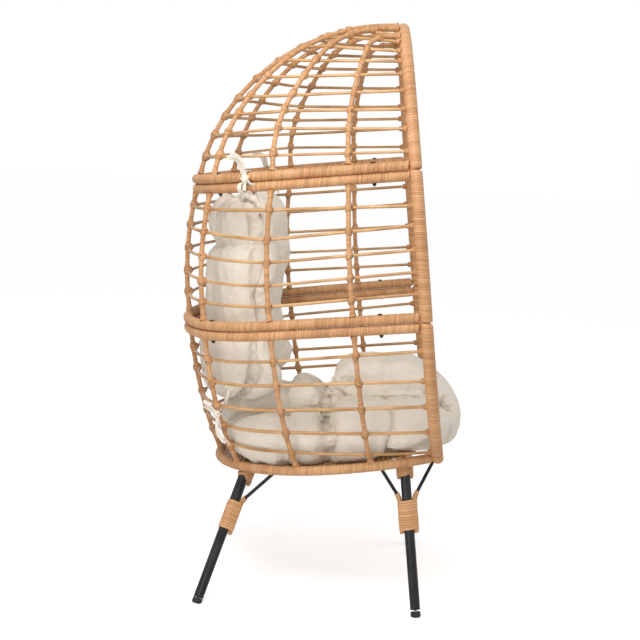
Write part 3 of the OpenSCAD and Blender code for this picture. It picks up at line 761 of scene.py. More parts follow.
base_points = [
    vec(0, BASE_D, 0),
    vec(BASE_R, BASE_MID_Y, 0),
    vec(FRONT_BAR_W / 2, RIM_R - EMBED - FRONT_BAR_OUT, 0),
]
base_path = to_chair(both_ways(chain(base_points, TO_THE_SIDE)))
bar_end = FRONT_BAR_W / 2 - RIM_R + EMBED
bar_path = to_chair(straight((-bar_end, -FRONT_BAR_OUT, 0), (bar_end, -FRONT_BAR_OUT, 0)))
bound("base_ring", [wound(base_path, UP_SHELL, RING_R, 5), wound(bar_path, UP_SHELL, RING_R, 6)])

CROSS_R = 0.006
CROSS_Y = (0.132 * BASE_D, 0.849 * BASE_D)
CROSS_Z = -CROSS_R - 0.0002
SHOULDERS = (0.81, 0.48)


def base_half_w(y):
    """Half the base ring's width at depth y: a sine in front and a circle behind."""
    if y > BASE_MID_Y:
        return math.sqrt(BASE_R**2 - (y - BASE_MID_Y) ** 2)
    return mix(FRONT_BAR_W / 2, BASE_R, math.sin(math.pi / 2 * y / BASE_MID_Y))


cross_rods = []
for number, y in enumerate(CROSS_Y):
    reach = base_half_w(y) - RING_R + 0.002
    ends = straight((-reach, y, CROSS_Z), (reach, y, CROSS_Z))
    cross_rods.append(wound(to_chair(ends), UP_SHELL, CROSS_R, 7 + number, around=12))
piece("base_cross_rods", cross_rods, WICKER, replaces=("base_crossbars",))

shoulder = [SEAM_HIGH + h * CANOPY_H for h in SHOULDERS] + [SEAM_HIGH + SEAM_GAP / 2]
rim_points = [vec(0, 0, RIM_TOP_Z)] + [vec(rim_x(z), 0, z) for z in shoulder]
rim_path = to_chair(both_ways(chain(rim_points, TO_THE_SIDE)))
bound("canopy_rim", [wound(rim_path, BACK_SHELL, RIM_R, 9, around=20)])

top, low = SEAM_HIGH - SEAM_GAP / 2, SEAM_LOW + SEAM_GAP / 2
mid = (top + low) / 2
a, b, c = vec(rim_x(top), 0, top), vec(rim_x(mid), 0, mid), vec(SHELL_W / 2, 0, low)
middle_post = arc(a, first_tangent(a, b, c), c)
low_points = [vec(SHELL_W / 2, 0, SEAM_LOW - SEAM_GAP / 2)]
low_points += [station(RIM, LOWER_H / 2), station(RIM, 0)]
lower_post = chain(low_points, -UP)
run = lengths(lower_post)[-1]
foot = along(lower_post, vec(run, run + RIM_R * 0.8))
lower_post = np.vstack([lower_post, foot[1:]])
for number, (side, place) in enumerate(SIDES):
    path = to_chair(place(middle_post))
    bound("middle_post_" + side, [wound(path, BACK_SHELL, RIM_R, 10 + number, around=20)])
    path = to_chair(place(lower_post))
    bars = [wound(path, BACK_SHELL, RIM_R, 12 + number, around=20, cap=0.009)]
    bound("lower_post_" + side, bars)

seed = 20
for section, (_, _, rib) in SECTIONS.items():
    rib_side = unit(np.cross(BACK_SHELL, UP_SHELL))
    bars = [wound(to_chair(rib(REAR)), rib_side, RIB_R, seed, **RIB_BINDING)]
    bound(section + "_rib_rear", bars)
    for number, (side, place) in enumerate(SIDES):
        bars = []
        for k in (1, 2, 3):
            path = to_chair(place(rib(k)))
            rib_side = unit(np.cross(TURN @ place(inwards(k, SEAM_HIGH)), UP_SHELL))
            bars.append(wound(path, rib_side, RIB_R, seed + 1 + k + 3 * number, **RIB_BINDING))
        bound("%s_ribs_%s" % (section, side), bars)
    seed += 10

# ---- Canes and their lashings ----

LASH_HALF, LASH_PITCH = 0.0098, 0.0038
LASH_START = RIB_R + 0.0003
LUMP_R, LUMP_BEFORE, LUMP_AFTER, LUMP_ROWS = 0.0078, 0.002, 0.011, 8
def wavy(path, rng):
    """A cane isn't quite straight: it wanders by 1 mm up and down, but not at its ends."""
    s = lengths(path)
    share = s / s[-1]
    phase = rng.uniform(0, 2 * math.pi, 3)
    wave = sum(np.sin(2 * math.pi * n * share + p) / n for n, p in zip((3, 7, 13), phase))
    return path + (0.0011 * wave * np.sin(math.pi * share))[:, None] * UP_SHELL


def meeting(path, other):
    """Where two paths come nearest: the places and directions on both."""
    gap = np.linalg.norm(path[:, None] - other[None], axis=-1)
    i, j = np.unravel_index(np.argmin(gap), gap.shape)
    i, j = np.clip(i, 1, len(path) - 2), np.clip(j, 1, len(other) - 2)
    return path[i], other[j], unit(other[j + 1] - other[j - 1])


def lashing(cane_at, rib_at, rib_way, rng):
    """A knob of strand round a rib and the cane inside it: an oval tube that swells from the
    rib's own size by a power of a cosine, over 9 mm up and down the rib, with ridges of strand
    round it and a lean to one side."""
    half = LASH_HALF * rng.uniform(0.85, 1.2)
    s = half * np.linspace(-1, 1, 15)
    swell = np.cos(math.pi / 2 * s / half * 0.97) ** 0.8
    off = cane_at - rib_at
    off = off - (off @ rib_way) * rib_way
    gap = np.linalg.norm(off)
    toward = off / gap
    across = np.cross(rib_way, toward)
    outer = RIB_R + mix(0.0003, 0.0032 * rng.uniform(0.8, 1.3), swell)
    inner = mix(LASH_START, gap + CANE_R + 0.0012, swell)
    wide = mix(LASH_START, RIB_R + 0.0034 * rng.uniform(0.85, 1.2), swell)
    ridge = 1 + 0.06 * np.cos(2 * math.pi * s / LASH_PITCH)
    a = 2 * math.pi * np.arange(14) / 14
    slant = 0.0022 * rng.choice([-1, 1])
    points = (
        rib_at
        + s[:, None, None] * rib_way
        + ((inner - outer) / 2)[:, None, None] * toward
        + ((inner + outer) / 2 * ridge)[:, None, None] * np.cos(a)[None, :, None] * toward
        + (wide * ridge)[:, None, None] * np.sin(a)[None, :, None] * across
        + (slant * np.sin(a))[None, :, None] * rib_way
    )
    return grid(points, s / LASH_PITCH + 40 + rng.integers(1000))


def strand_end(cane_at, rib_at, rib_way, rng):
    """The dark hollow where a lashing's strand tucks in: a short stub beside the knob."""
    toward = unit(cane_at - rib_at)
    across = np.cross(rib_way, toward)
    way = unit(across * rng.choice([-1, 1]) - rng.uniform(0.2, 1.6) * toward + 0.2 * rib_way)
    at = rib_at - rng.uniform(-0.004, 0.005) * rib_way + 0.0058 * way
    length = 0.0036
    ends = straight(at, at + length * way)
    return tube(ends, rib_way, 0.0015, around=7, s=np.linspace(0, length, 3))


rng = np.random.default_rng(77)
lashings, stub_ends, end_lumps = [], [], []
for section, (start, height, rib) in SECTIONS.items():
    levels = LEVELS[section]
    rib_paths = [to_chair(rib(REAR))] + [
        to_chair(place(rib(k))) for k in (1, 2, 3) for _, place in SIDES
    ]
    bars = []
    for shares in levels:
        path = wavy(to_chair(cane_path([start + share * height for share in shares])), rng)
        run = lengths(path)[-1]
        s = np.linspace(0, run, int(run / 0.007))
        bar_r = CANE_R * rng.uniform(0.9, 1.06)
        bars.append(tube(path, UP_SHELL, bar_r, s=s, around=10, u=s + 3 * rng.integers(90)))
        for rib_path in rib_paths:
            cane_at, rib_at, rib_way = meeting(path[::2], rib_path[::2])
            if np.linalg.norm(cane_at - rib_at) < 0.03:
                lashings.append(lashing(cane_at, rib_at, rib_way, rng))
                stub_ends.append(strand_end(cane_at, rib_at, rib_way, rng))
        for end, inner in ((path[0], path[9]), (path[-1], path[-10])):
            way = unit(inner - end)
            lump = straight(end - LUMP_BEFORE * way, end + LUMP_AFTER * way, LUMP_ROWS)
            r = LUMP_R * np.sqrt(np.clip(1 - np.linspace(-0.75, 0.98, LUMP_ROWS) ** 2, 0.05, 1))
            s, u = np.linspace(0, 0.013, LUMP_ROWS), np.linspace(50, 53, LUMP_ROWS)
            end_lumps.append(tube(lump, UP_SHELL, r, s=s, around=10, u=u))
    half = len(levels) // 2
    for part, chosen in (("low", bars[:half]), ("high", bars[half:])):
        name = "%s_canes_%s" % (section, part)
        piece(name + "_round", chosen, CANE, replaces=(name,))
piece("lashings", lashings, LASHING)
piece("lashing_strand_ends", stub_ends, BLACK_PLASTIC)
piece("cane_end_lashings", end_lumps, LASHING)

# ---- Deck ----

DECK_EDGE = RING_R - 0.001
DECK_FRONT = 0.014 - FRONT_BAR_OUT
DECK_Z = 0.0001
DECK_STEP = 0.012


def deck_reach(y):
    """Half the deck's width at depth y: an ellipse in front of the base ring's middle and a
    half circle behind it."""
    depth = BASE_MID_Y - DECK_FRONT if y < BASE_MID_Y else BASE_R - DECK_EDGE
    return (BASE_R - DECK_EDGE) * math.sqrt(max(0.0, 1 - ((y - BASE_MID_Y) / depth) ** 2))


def deck_depths(x):
    """The deck's front and rear edge at x from the middle line."""
    half = math.sqrt(max(0.0, 1 - (x / (BASE_R - DECK_EDGE)) ** 2))
    front = BASE_MID_Y - (BASE_MID_Y - DECK_FRONT) * half
    return front, BASE_MID_Y + (BASE_R - DECK_EDGE) * half


def slat(p, q, axis, number):
    """A flat strand from p to q, along x (axis 0) or y (axis 1), that goes over and under those
    that cross it: its height is a sine with a half wave every 12 mm."""
    run = np.linalg.norm(q - p)
    count = max(3, int(run / 0.003))
    path = straight(p, q, count)
    wave = 0.0009 * np.sin(math.pi * path[:, axis] / DECK_STEP) * (1 if number % 2 else -1)
    path = path + (DECK_Z + 0.002 + wave)[:, None] * UP
    u = np.linspace(0, run, count) + 0.37 * number
    oval = (0.0058, 0.0007)
    return tube(to_chair(path), UP_SHELL, 1.0, s=lengths(path), around=8, u=u, oval=oval)


slats = []
for number, x in enumerate(np.arange(-0.3, 0.3001, DECK_STEP)):
    y0, y1 = deck_depths(x)
    if y1 - y0 > 0.03:
        slats.append(slat(vec(x, y0, 0), vec(x, y1, 0), 1, number))
for number, y in enumerate(np.arange(DECK_STEP, 0.552, DECK_STEP)):
    x = deck_reach(y)
    if x > 0.02:
        slats.append(slat(vec(-x, y, 0), vec(x, y, 0), 0, number))
piece("seat_deck_weave", slats, CANE, replaces=("seat_deck",))

# ---- Seam bolts ----

SLANTED = vec(0.31, 0.52, 0.8)
BOLT_PLACES = ((2, 0.74), (1, 0.2))
HEAD = (
    (0.0052, 0.0),
    (0.0052, 0.0006),
    (0.0048, 0.0014),
    (0.0036, 0.0021),
    (0.002, 0.0024),
    (0.0004, 0.0025),
)
WASHER = (
    (0.003, 0.0),
    (0.0058, 0.0),
    (0.006, 0.0003),
    (0.006, 0.0008),
    (0.0058, 0.001),
    (0.003, 0.001),
)
WASHER_T = 0.001
SHANK_END = ((0.003, 0.0), (0.003, 0.0058), (0.0024, 0.0064))
NUT_FLAT, NUT_H = 0.0046, 0.0034


def spokes(axis, other, around):
    """Evenly spaced angles round an axis, and the outward direction at each."""
    n = unit(np.cross(axis, other))
    b = np.cross(axis, n)
    a = 2 * math.pi * np.arange(around) / around
    return a, np.cos(a)[:, None] * n + np.sin(a)[:, None] * b


def lathe(profile, base, axis, ring):
    """Points of a profile of (radius, height) carried round axis at base."""
    return base + profile[:, 1, None, None] * axis + profile[:, 0, None, None] * ring


def turned(profile, base, axis, around=20):
    """A piece turned on a lathe."""
    profile = np.asarray(profile, float)
    _, ring = spokes(axis, SLANTED, around)
    return grid(lathe(profile, base, axis, ring), profile[:, 1])


def hex_nut(base, axis):
    """A six-sided nut with chamfered corners: r(a) = flat / cos of the angle to the nearest
    flat."""
    a, ring = spokes(axis, SLANTED, 36)
    six = NUT_FLAT / np.cos((a + math.pi / 6) % (math.pi / 3) - math.pi / 6)
    z = NUT_H * vec(0, 0.0, 0.12, 0.88, 1.0, 1.0)
    inset = vec(0.55, 0.9, 1.0, 1.0, 0.9, 0.5)[:, None]
    r = np.minimum(inset * six, np.where(inset < 1, inset * NUT_FLAT * 1.08, 1))
    return grid(base + z[:, None, None] * axis + r[..., None] * ring, z)


def bolt_point(arc_number, share, seam):
    """The point at a share of one arc of a seam's ring."""
    points = ring_points(seam)
    t = TO_THE_SIDE
    for p, q in zip(points[:arc_number], points[1:]):
        chord = unit(q - p)
        t = 2 * (t @ chord) * chord - t
    path = arc(points[arc_number], t, points[arc_number + 1])
    return along(path, vec(share * lengths(path)[-1]))[0]


for name, seam in (("lower", SEAM_LOW), ("upper", SEAM_HIGH)):
    parts = []
    reach = 2 * RING_STEP + 0.0002
    for arc_number, share in BOLT_PLACES:
        for _, place in SIDES:
            at = place(bolt_point(arc_number, share, seam))
            over, under = to_chair(at + reach * UP), to_chair(at - reach * UP)
            parts.append(turned(WASHER, over - WASHER_T * UP_SHELL, UP_SHELL))
            parts.append(turned(HEAD, over, UP_SHELL))
            parts.append(turned(WASHER, under + WASHER_T * UP_SHELL, -UP_SHELL))
            parts.append(hex_nut(under, -UP_SHELL))
            parts.append(turned(SHANK_END, under, -UP_SHELL, 14))
    bolts = name + "_seam_bolts"
    piece(name + "_seam_bolt_heads", parts, BLACK_BOLT, replaces=(bolts,))

# ---- Legs ----

LEG_TOP = (vec(0.83 * BASE_R, CROSS_Y[0], -RING_R), vec(0.61 * BASE_R, CROSS_Y[1], -RING_R))
BRACE_Z = 0.001 - RING_R
AT_BAR_Y = 0.002 - FRONT_BAR_OUT
BRACE_TOPS = (
    (vec(0.945 * BASE_R, 0.232 * BASE_D, BRACE_Z), vec(0.585 * BASE_R, AT_BAR_Y, BRACE_Z)),
    (vec(0.845 * BASE_R, 0.715 * BASE_D, BRACE_Z), vec(0.3 * BASE_R, 0.84 * BASE_D, BRACE_Z)),
)
SOCKET_R, SOCKET_L, SOCKET_IN = 0.0183, 0.0255, 0.003
CUFF_UPPER_R, CUFF_LOWER_R = BRACE_R + 0.0019, BRACE_R + 0.0021
BRACE_BEND = 0.018
THREAD_IN, THREAD_PAD = 0.034, 0.007
BRACE_SIDES = ((TO_THE_BACK, -TO_THE_BACK), (-TO_THE_BACK, -TO_THE_SIDE))
BINDING_FROM = 0.086
BINDING_TO = BINDING_FROM + WRAP_L
BINDING_T = 0.003
BRACE_TAIL = 0.005
BRACE_OFF = LEG_R + BRACE_R + 0.0003
FLANGE_T = 0.0025
PITCH = 0.00125


def leg_lines(leg):
    """A leg's top, its direction, and the ends of its tube, flange and pad along it."""
    high = to_chair(LEG_TOP[leg])
    foot = vec(FOOT_SPACING_W / 2, high[1] + SPLAY[leg], 0.006)
    down = unit(foot - high)
    pad_top = foot - 0.45 * PAD_L * down
    flange_end = pad_top - FOOT_OUT[leg] * down
    return high, down, flange_end - FLANGE_T * down, flange_end, pad_top


def rounded(points, bend):
    """A polyline with its inner corners rounded: a parabola over the length bend on each side."""
    p, q, r = points
    a, b = q + bend * unit(p - q), q + bend * unit(r - q)
    t = np.linspace(0, 1, 13)[:, None]
    return np.vstack([p, (1 - t) ** 2 * a + 2 * t * (1 - t) * q + t**2 * b, r])


def hull_wrap(high, down, offs, seed):
    """The binding: wide strands laid round the leg and both braces. Each row is the outline
    that a taut band takes round three circles, the furthest of them in every direction."""
    a, out = spokes(down, UP, 48)
    s, u, height = turns(WRAP_L, 0.0068, seed)
    centres = np.vstack([np.zeros(3), offs])
    radii = vec(LEG_R, BRACE_R, BRACE_R) + BINDING_T
    far = np.argmax(out @ centres.T + radii, axis=1)
    base = centres[far] + radii[far][:, None] * out
    lift = np.where((s < 1e-6) | (s > WRAP_L - 1e-6), -0.0022, 0.0007 * height)
    slant = 0.0016 * np.sin(a + 0.7)
    rows = high + (BINDING_FROM + s)[:, None, None] * down + base[None] + lift[:, None, None] * out
    return grid(rows + slant[None, :, None] * down, u)


def thread(start, end, down):
    """A screw thread: r = mean + depth * triangle(turns along - share round)."""
    run = np.linalg.norm(end - start)
    s = np.linspace(0, run, int(run / PITCH * 6))
    a, ring = spokes(down, UP, 16)
    phase = (s[:, None] / PITCH - a / (2 * math.pi)) % 1
    r = STEM_R - 0.0003 + 0.0006 * (np.abs(phase - 0.5) - 0.25)
    r = r * np.clip(np.minimum(s, run - s) / 0.0008 + 0.75, 0, 1)[:, None]
    return grid(start + s[:, None, None] * down + r[..., None] * ring, s)


def foot_pad(pad_top, down):
    """A pad turned round the leg's line, with rounded edges and its sole flat on the floor."""
    a = np.linspace(0, math.pi / 2, 7)
    fine, coarse = 0.0006, 0.004
    top_edge = np.stack([LEG_R - fine + fine * np.sin(a), fine - fine * np.cos(a)], -1)
    r, z = LEG_R - coarse + coarse * np.cos(a), PAD_L - coarse + coarse * np.sin(a)
    low_edge = np.stack([r, z], -1)
    inner = np.stack([np.linspace(LEG_R - 0.0045, 0.001, 8), np.full(8, PAD_L)], -1)
    wall = np.stack([np.full(8, LEG_R), np.linspace(0.001, PAD_L - 0.0045, 8)], -1)
    hole = ((STEM_R + 0.0001, 0.004), (STEM_R + 0.0003, 0.0))
    profile = np.vstack([*hole, top_edge, wall, low_edge, inner])
    points = lathe(profile, pad_top, down, spokes(down, UP, 40)[1])
    points[..., 2] = np.maximum(points[..., 2], 0.0)
    return grid(points, profile[:, 1])


for leg, end_name in enumerate(("front", "rear")):
    high, down, tube_end, flange_end, pad_top = leg_lines(leg)
    offs = [BRACE_OFF * unit(v - (v @ down) * down) for v in BRACE_SIDES[leg]]
    for number, (side, place) in enumerate(SIDES):
        tag = "%s_%s" % (end_name, side)
        seed = 60 + 10 * leg + 5 * number
        way = place(down)
        leg_path = place(np.vstack([high + 0.007 * down, tube_end]))
        run = lengths(leg_path)[-1]
        s = vec(0, 0.0004, 0.001, 0.02, 0.2, run - 0.001, run - 0.0004, run)
        r = LEG_R - vec(0.001, 0.0003, 0, 0, 0, 0, 0.0002, 0.0008)
        leg_bar = tube(leg_path, UP, r, s=s, around=32)
        name = "leg_" + tag
        piece(name + "_tube", [leg_bar], BLACK_STEEL, replaces=(name,))
        rods, cuffs = [], []
        for i, off in enumerate(offs):
            knee = high + (BINDING_FROM - 0.004) * down + off
            tail = high + (BINDING_TO + BRACE_TAIL) * down + off
            path = place(rounded([to_chair(BRACE_TOPS[leg][i]), knee, tail], BRACE_BEND))
            run = lengths(path)[-1]
            s = np.linspace(0, run, 70)
            rods.append(tube(path, UP, BRACE_R, s=s, around=16, cap=0.002))
            bound_at = run - WRAP_L - BRACE_TAIL
            upper = along(path, np.linspace(bound_at - 0.022, bound_at + 0.004, 12))
            lower = along(path, np.linspace(run - 0.008, run + 0.0035, 8))
            cuffs.append(wound(upper, UP, CUFF_UPPER_R, seed + i, 0.0045, 0.0004, 14, 0.002))
            cuffs.append(wound(lower, UP, CUFF_LOWER_R, seed + 2 + i, 0.0045, 0.0004, 14, 0.003))
        name = "braces_" + tag
        piece(name + "_rods", rods, BLACK_STEEL, replaces=(name,))
        wrap = hull_wrap(place(high), way, [place(off) for off in offs], seed + 4)
        name = "binding_" + tag
        piece(name + "_strands", [wrap, *cuffs], WICKER, replaces=(name,))
        socket_top = LEG_TOP[leg] + vec(0, SOCKET_IN, 0)
        socket = to_chair(place(straight(socket_top - vec(0, 0, SOCKET_L), socket_top)))
        bars = [wound(socket, BACK_SHELL, SOCKET_R, seed + 7, 0.0056, 0.0005, 28, 0.004)]
        bound("socket_" + tag, bars)
        stem = place(np.vstack([flange_end - THREAD_IN * down, pad_top + THREAD_PAD * down]))
        stems, pads = [thread(stem[0], stem[1], way)], [foot_pad(place(pad_top), way)]
        name, body = "stem_" + tag, "screw_" + tag
        piece(name + "_thread", stems, ZINC, body, replaces=(name,))
        name, body = "pad_" + tag, "foot_" + tag
        piece(name + "_foot", pads, BLACK_PLASTIC, body, replaces=(name,))
        insert = frame["nodes"]["insert_" + tag]
        insert.data.materials.clear()
        insert.data.materials.append(BLACK_PLASTIC)

# ---- Cushions ----


def outline_r(a, half_w, half_d, n):
    """The radius of a superellipse of power n at angle a."""
    return ((np.abs(np.cos(a)) / half_w) ** n + (np.abs(np.sin(a)) / half_d) ** n) ** (-1 / n)


def smooth(x, low, high):
    """A smooth step from 0 at low to 1 at high."""
    t = np.clip((x - low) / (high - low), 0, 1)
    return t * t * (3 - 2 * t)


def crease(d, spread):
    """A sharp valley of depth 1 at d = 0: exp(-(|d| / spread) ^ 1.15)."""
    return np.exp(-((np.abs(d) / spread) ** 1.15))


def quilted(x, y, rows, row_depths, tuft_x, depth):
    """How far the face is drawn in: creases along each row of tufts, softer ones across them,
    and a pit at each tuft. The deepest at a point counts, and its neighbours a little."""
    across = [d * crease(y - row, 0.022) for row, d in zip(rows, row_depths)]
    pits = [
        d * dip(np.hypot(np.abs(x) - tuft_x, y - row), 0.02) for row, d in zip(rows, row_depths)
    ]
    lengthways = 0.95 * crease(np.abs(x) - tuft_x, 0.02)
    deepest = np.max([*across, lengthways], axis=0)
    return depth * (deepest + 0.35 * np.max(pits, axis=0))


SEAT_MID_Y = SEAT_CUSHION_D / 2 - 0.071
SEAT_ROWS, SEAT_ROW_DEPTHS, SEAT_TUFT_X = (0.105, 0.262, 0.365), (0.15, 1.0, 0.35), 0.125
SEAT_QUILT, BACK_QUILT = 0.066, 0.042
SEAT_BOTTOM = 0.0044
BAR_TOP = RING_R + 0.005
BAR_FRONT = -RING_R - 0.006 - FRONT_BAR_OUT
BACK_ROWS, BACK_ROW_DEPTHS, BACK_TUFT_X = (0.135, -0.07), (0.9, 0.4), 0.092
BACK_MID = vec(0, SHELL_D - 0.122, 0.16 + BACK_CUSHION_H / 2)
BACK_LEAN, BACK_BEND = 0.095, 0.088
SHRINK = 0.006


def pulled(y, rows, row_depths, spread):
    """How strongly the creases along the rows draw in the sides at y."""
    return np.max([d * crease(y - row, spread) for row, d in zip(rows, row_depths)], axis=0)


def back_bend(x):
    """How far the back cushion comes forward at x from its middle line: a parabola."""
    return BACK_BEND * (np.abs(x) / (BACK_CUSHION_W / 2)) ** 2


def seat_surface(r, a, face):
    """The seat cushion over its outline: domes between the creases above, and below a flat
    bottom that lifts over the front bar and droops past it. The creases draw in its sides."""
    edge = outline_r(a, SEAT_CUSHION_W / 2 - SHRINK, SEAT_CUSHION_D / 2 - SHRINK, 2.9)
    x, y = r * edge * np.cos(a), r * edge * np.sin(a) + SEAT_MID_Y
    pull = pulled(y, SEAT_ROWS, SEAT_ROW_DEPTHS, 0.016)
    x = x * (1 - 0.07 * pull * smooth(r, 0.75, 1))
    side_z = mix(0.048, 0.078, smooth(y, -0.07, 0.2))
    if face > 0:
        dome = np.clip(1 - r**4.6, 0, 1) ** 0.52
        side = smooth(np.abs(x), 0.105, 0.14)
        crown = mix(mix(0.21, 0.154, side), mix(0.166, 0.13, side), smooth(y, 0.2, 0.3))
        crown = crown - 0.028 * smooth(-y, -0.07, 0.05)
        drawn = quilted(x, y, SEAT_ROWS, SEAT_ROW_DEPTHS, SEAT_TUFT_X, SEAT_QUILT)
        z = side_z + (crown - side_z) * dome - drawn * dome
    else:
        front = mix(-0.028, BAR_TOP, smooth(y, BAR_FRONT - 0.032, BAR_FRONT))
        rest = mix(BAR_TOP, SEAT_BOTTOM, smooth(y, 0.017, 0.08))
        under = np.where(y < BAR_FRONT, front, rest)
        under = under + 0.034 * pull * smooth(r, 0.72, 0.97) * smooth(y, 0.03, 0.08)
        z = under + (side_z - under) * (1 - np.sqrt(np.clip(1 - r**13, 0, 1)))
    return np.stack([x, y, z], -1)


def back_surface(r, a, face):
    """The back cushion over its outline: two domed faces on a sheet bent round the sitter,
    drawn together at their seam, with creases across at the rows of tufts."""
    edge = outline_r(a, BACK_CUSHION_W / 2 - SHRINK, BACK_CUSHION_H / 2 - SHRINK, 4.8)
    x, z = r * edge * np.cos(a), r * edge * np.sin(a)
    dome = np.sqrt(np.clip(1 - r**11, 0, 1))
    low = smooth(-z, 0.0, 0.12)
    if face > 0:
        waist = smooth(-z, -0.06, 0.0) * (1 - smooth(-z, 0.13, 0.18))
        half = BACK_CUSHION_T / 2 - 0.006 - 0.026 * waist + 0.03 * dip(z + 0.2, 0.04)
    else:
        half = BACK_CUSHION_T / 2 - 0.022 + 0.016 * low
    rows = [0.7 * d * (1 if face < 0 else dip(x, 0.12)) for d in BACK_ROW_DEPTHS]
    drawn = quilted(x, z, BACK_ROWS, rows, BACK_TUFT_X, BACK_QUILT)
    out = dome * (half - drawn * smooth(dome, 0, 0.7))
    seam = 1 - 0.085 * np.exp(-out / 0.013)
    pull = pulled(z, BACK_ROWS, BACK_ROW_DEPTHS, 0.018)
    x = x * (1 - 0.02 * pull * smooth(r, 0.8, 1) * (face < 0)) * seam
    y = -BACK_LEAN * z - back_bend(x) - face * out
    return np.stack([x, y, z * seam], -1) + BACK_MID


def pillow(surface, rows=44, around=168):
    """A closed pillow: rings from the middle of one face over the edge to the other's."""
    a = 2 * math.pi * np.arange(around) / around
    shares = np.sin(math.pi / 2 * np.arange(1, rows + 1) / rows)
    upper = surface(shares[:, None], a[None, :], 1)
    lower = surface(shares[-2::-1, None], a[None, :], -1)
    points = np.vstack([upper, lower])
    return grid(points, np.arange(len(points)) / len(points))


PLAN_MID_Y = 0.24
PLAN_ANGLES = np.linspace(-1.2, math.pi / 2, 160)
PLAN_HEIGHTS = np.linspace(-0.01, SEAM_HIGH, 60)


def plan_reach(z):
    """How far the shell's plan at height z stands from its middle, by angle."""
    points = [station(k, max(z, 0)) for k in (REAR, 1, 2, RIM)]
    path = chain(points, TO_THE_SIDE)[::-1]
    angle = np.arctan2(path[:, 1] - PLAN_MID_Y, path[:, 0])
    reach = np.hypot(path[:, 1] - PLAN_MID_Y, path[:, 0])
    return np.interp(PLAN_ANGLES, angle, reach, left=1.0)


REACHES = np.array([plan_reach(z) for z in PLAN_HEIGHTS])


def table_place(value, marks):
    """Where a value stands in a table of even marks, in steps from the first."""
    return np.clip((value - marks[0]) / (marks[1] - marks[0]), 0, len(marks) - 1.001)


def kept_in(points, room):
    """Points drawn in towards the shell's middle until they stand room inside its ribs, and
    lifted clear of the deck and the front bar. The table of reaches is read between its values."""
    x, y, z = points[:, 0], points[:, 1] - PLAN_MID_Y, points[:, 2]
    i = table_place(z, PLAN_HEIGHTS)
    j = table_place(np.arctan2(y, np.abs(x)), PLAN_ANGLES)
    i0, j0 = i.astype(int), j.astype(int)
    fi, fj = i - i0, j - j0
    low = mix(REACHES[i0, j0], REACHES[i0, j0 + 1], fj)
    high = mix(REACHES[i0 + 1, j0], REACHES[i0 + 1, j0 + 1], fj)
    limit = mix(low, high, fi) - room
    reach = np.hypot(x, y)
    share = np.minimum(1, limit / np.maximum(reach, 1e-6))
    x, y = x * share, y * share + PLAN_MID_Y
    floor_z = np.where(y > 0.004, SEAT_BOTTOM, -1)
    over = RING_R + 0.0025
    bar = np.sqrt(np.clip(over**2 - (y + FRONT_BAR_OUT) ** 2, 0, None))
    z = np.maximum(z, np.where((bar > 0) & (z > -0.03), bar, floor_z))
    return np.stack([x, y, z], -1)


FRAMES, NET_SIZE = 20, 0.0055
SWELLING = {
    "quality": 4,
    "mass": 0.3,
    "use_pressure": True,
    "uniform_pressure_force": 4.0,
    "tension_stiffness": 12,
    "compression_stiffness": 12,
    "shear_stiffness": 6,
    "bending_stiffness": 0.4,
    "shrink_min": -0.07,
}


def read(values, what, count):
    """An array of vectors from a mesh's data, such as "co" from its vertices."""
    out = np.empty(3 * count, np.float32)
    values.foreach_get(what, out)
    return out.reshape(-1, 3)


def move_to(mesh, points):
    """Moves a mesh's vertices to new places."""
    mesh.vertices.foreach_set("co", points.astype(np.float32).ravel())
    mesh.update()


def puffed(obj, cap):
    """A simulated swelling: the case is remeshed, blown up as cloth for 20 frames, and no point
    may end further than cap from where it began."""
    bpy.context.view_layer.objects.active = obj
    for one in bpy.context.selected_objects:
        one.select_set(False)
    obj.select_set(True)
    remesh = obj.modifiers.new("even net", "REMESH")
    remesh.mode = "VOXEL"
    remesh.voxel_size = NET_SIZE
    remesh.use_smooth_shade = True
    bpy.ops.object.modifier_apply(modifier=remesh.name)
    count = len(obj.data.vertices)
    start = read(obj.data.vertices, "co", count)
    cloth = obj.modifiers.new("swelling", "CLOTH")
    for name, value in SWELLING.items():
        setattr(cloth.settings, name, value)
    cloth.settings.effector_weights.gravity = 0
    cloth.collision_settings.use_collision = False
    cloth.point_cache.frame_start, cloth.point_cache.frame_end = 1, FRAMES
    scene = bpy.context.scene
    for step in range(1, FRAMES + 1):
        scene.frame_set(step)
    blown = obj.evaluated_get(bpy.context.evaluated_depsgraph_get())
    move = read(blown.data.vertices, "co", count) - start
    obj.modifiers.remove(cloth)
    scene.frame_set(1)
    far = np.linalg.norm(move, axis=1, keepdims=True)
    move_to(obj.data, start + move * np.minimum(1, cap / np.maximum(far, 1e-9)))


def waves(p, rng, count, short, long):
    """Smooth random folds: a sum of sines with wavelengths from short to long."""
    total = 0
    for _ in range(count):
        way = unit(rng.normal(size=3)) * 2 * math.pi / rng.uniform(short, long)
        total = total + np.sin(p @ way + rng.uniform(0, 2 * math.pi))
    return total / math.sqrt(count)


def normals_of(mesh, points):
    """Vertex normals for new places of a mesh's vertices, from the mesh itself."""
    move_to(mesh, points)
    return read(mesh.vertex_normals, "vector", len(points)).astype(float)


def groove(d, sharp, soft):
    """A sewn groove at d = 0: two valleys, each depth * exp(-|d| / spread)."""
    return sharp[0] * np.exp(-np.abs(d) / sharp[1]) + soft[0] * np.exp(-np.abs(d) / soft[1])


def gathers(place, pitch, sway, p, rng, short, long):
    """Gathered cloth beside a seam: ripples a pitch apart that sway with smooth folds."""
    return np.sin(2 * math.pi * place / pitch + sway * waves(p, rng, 3, short, long))


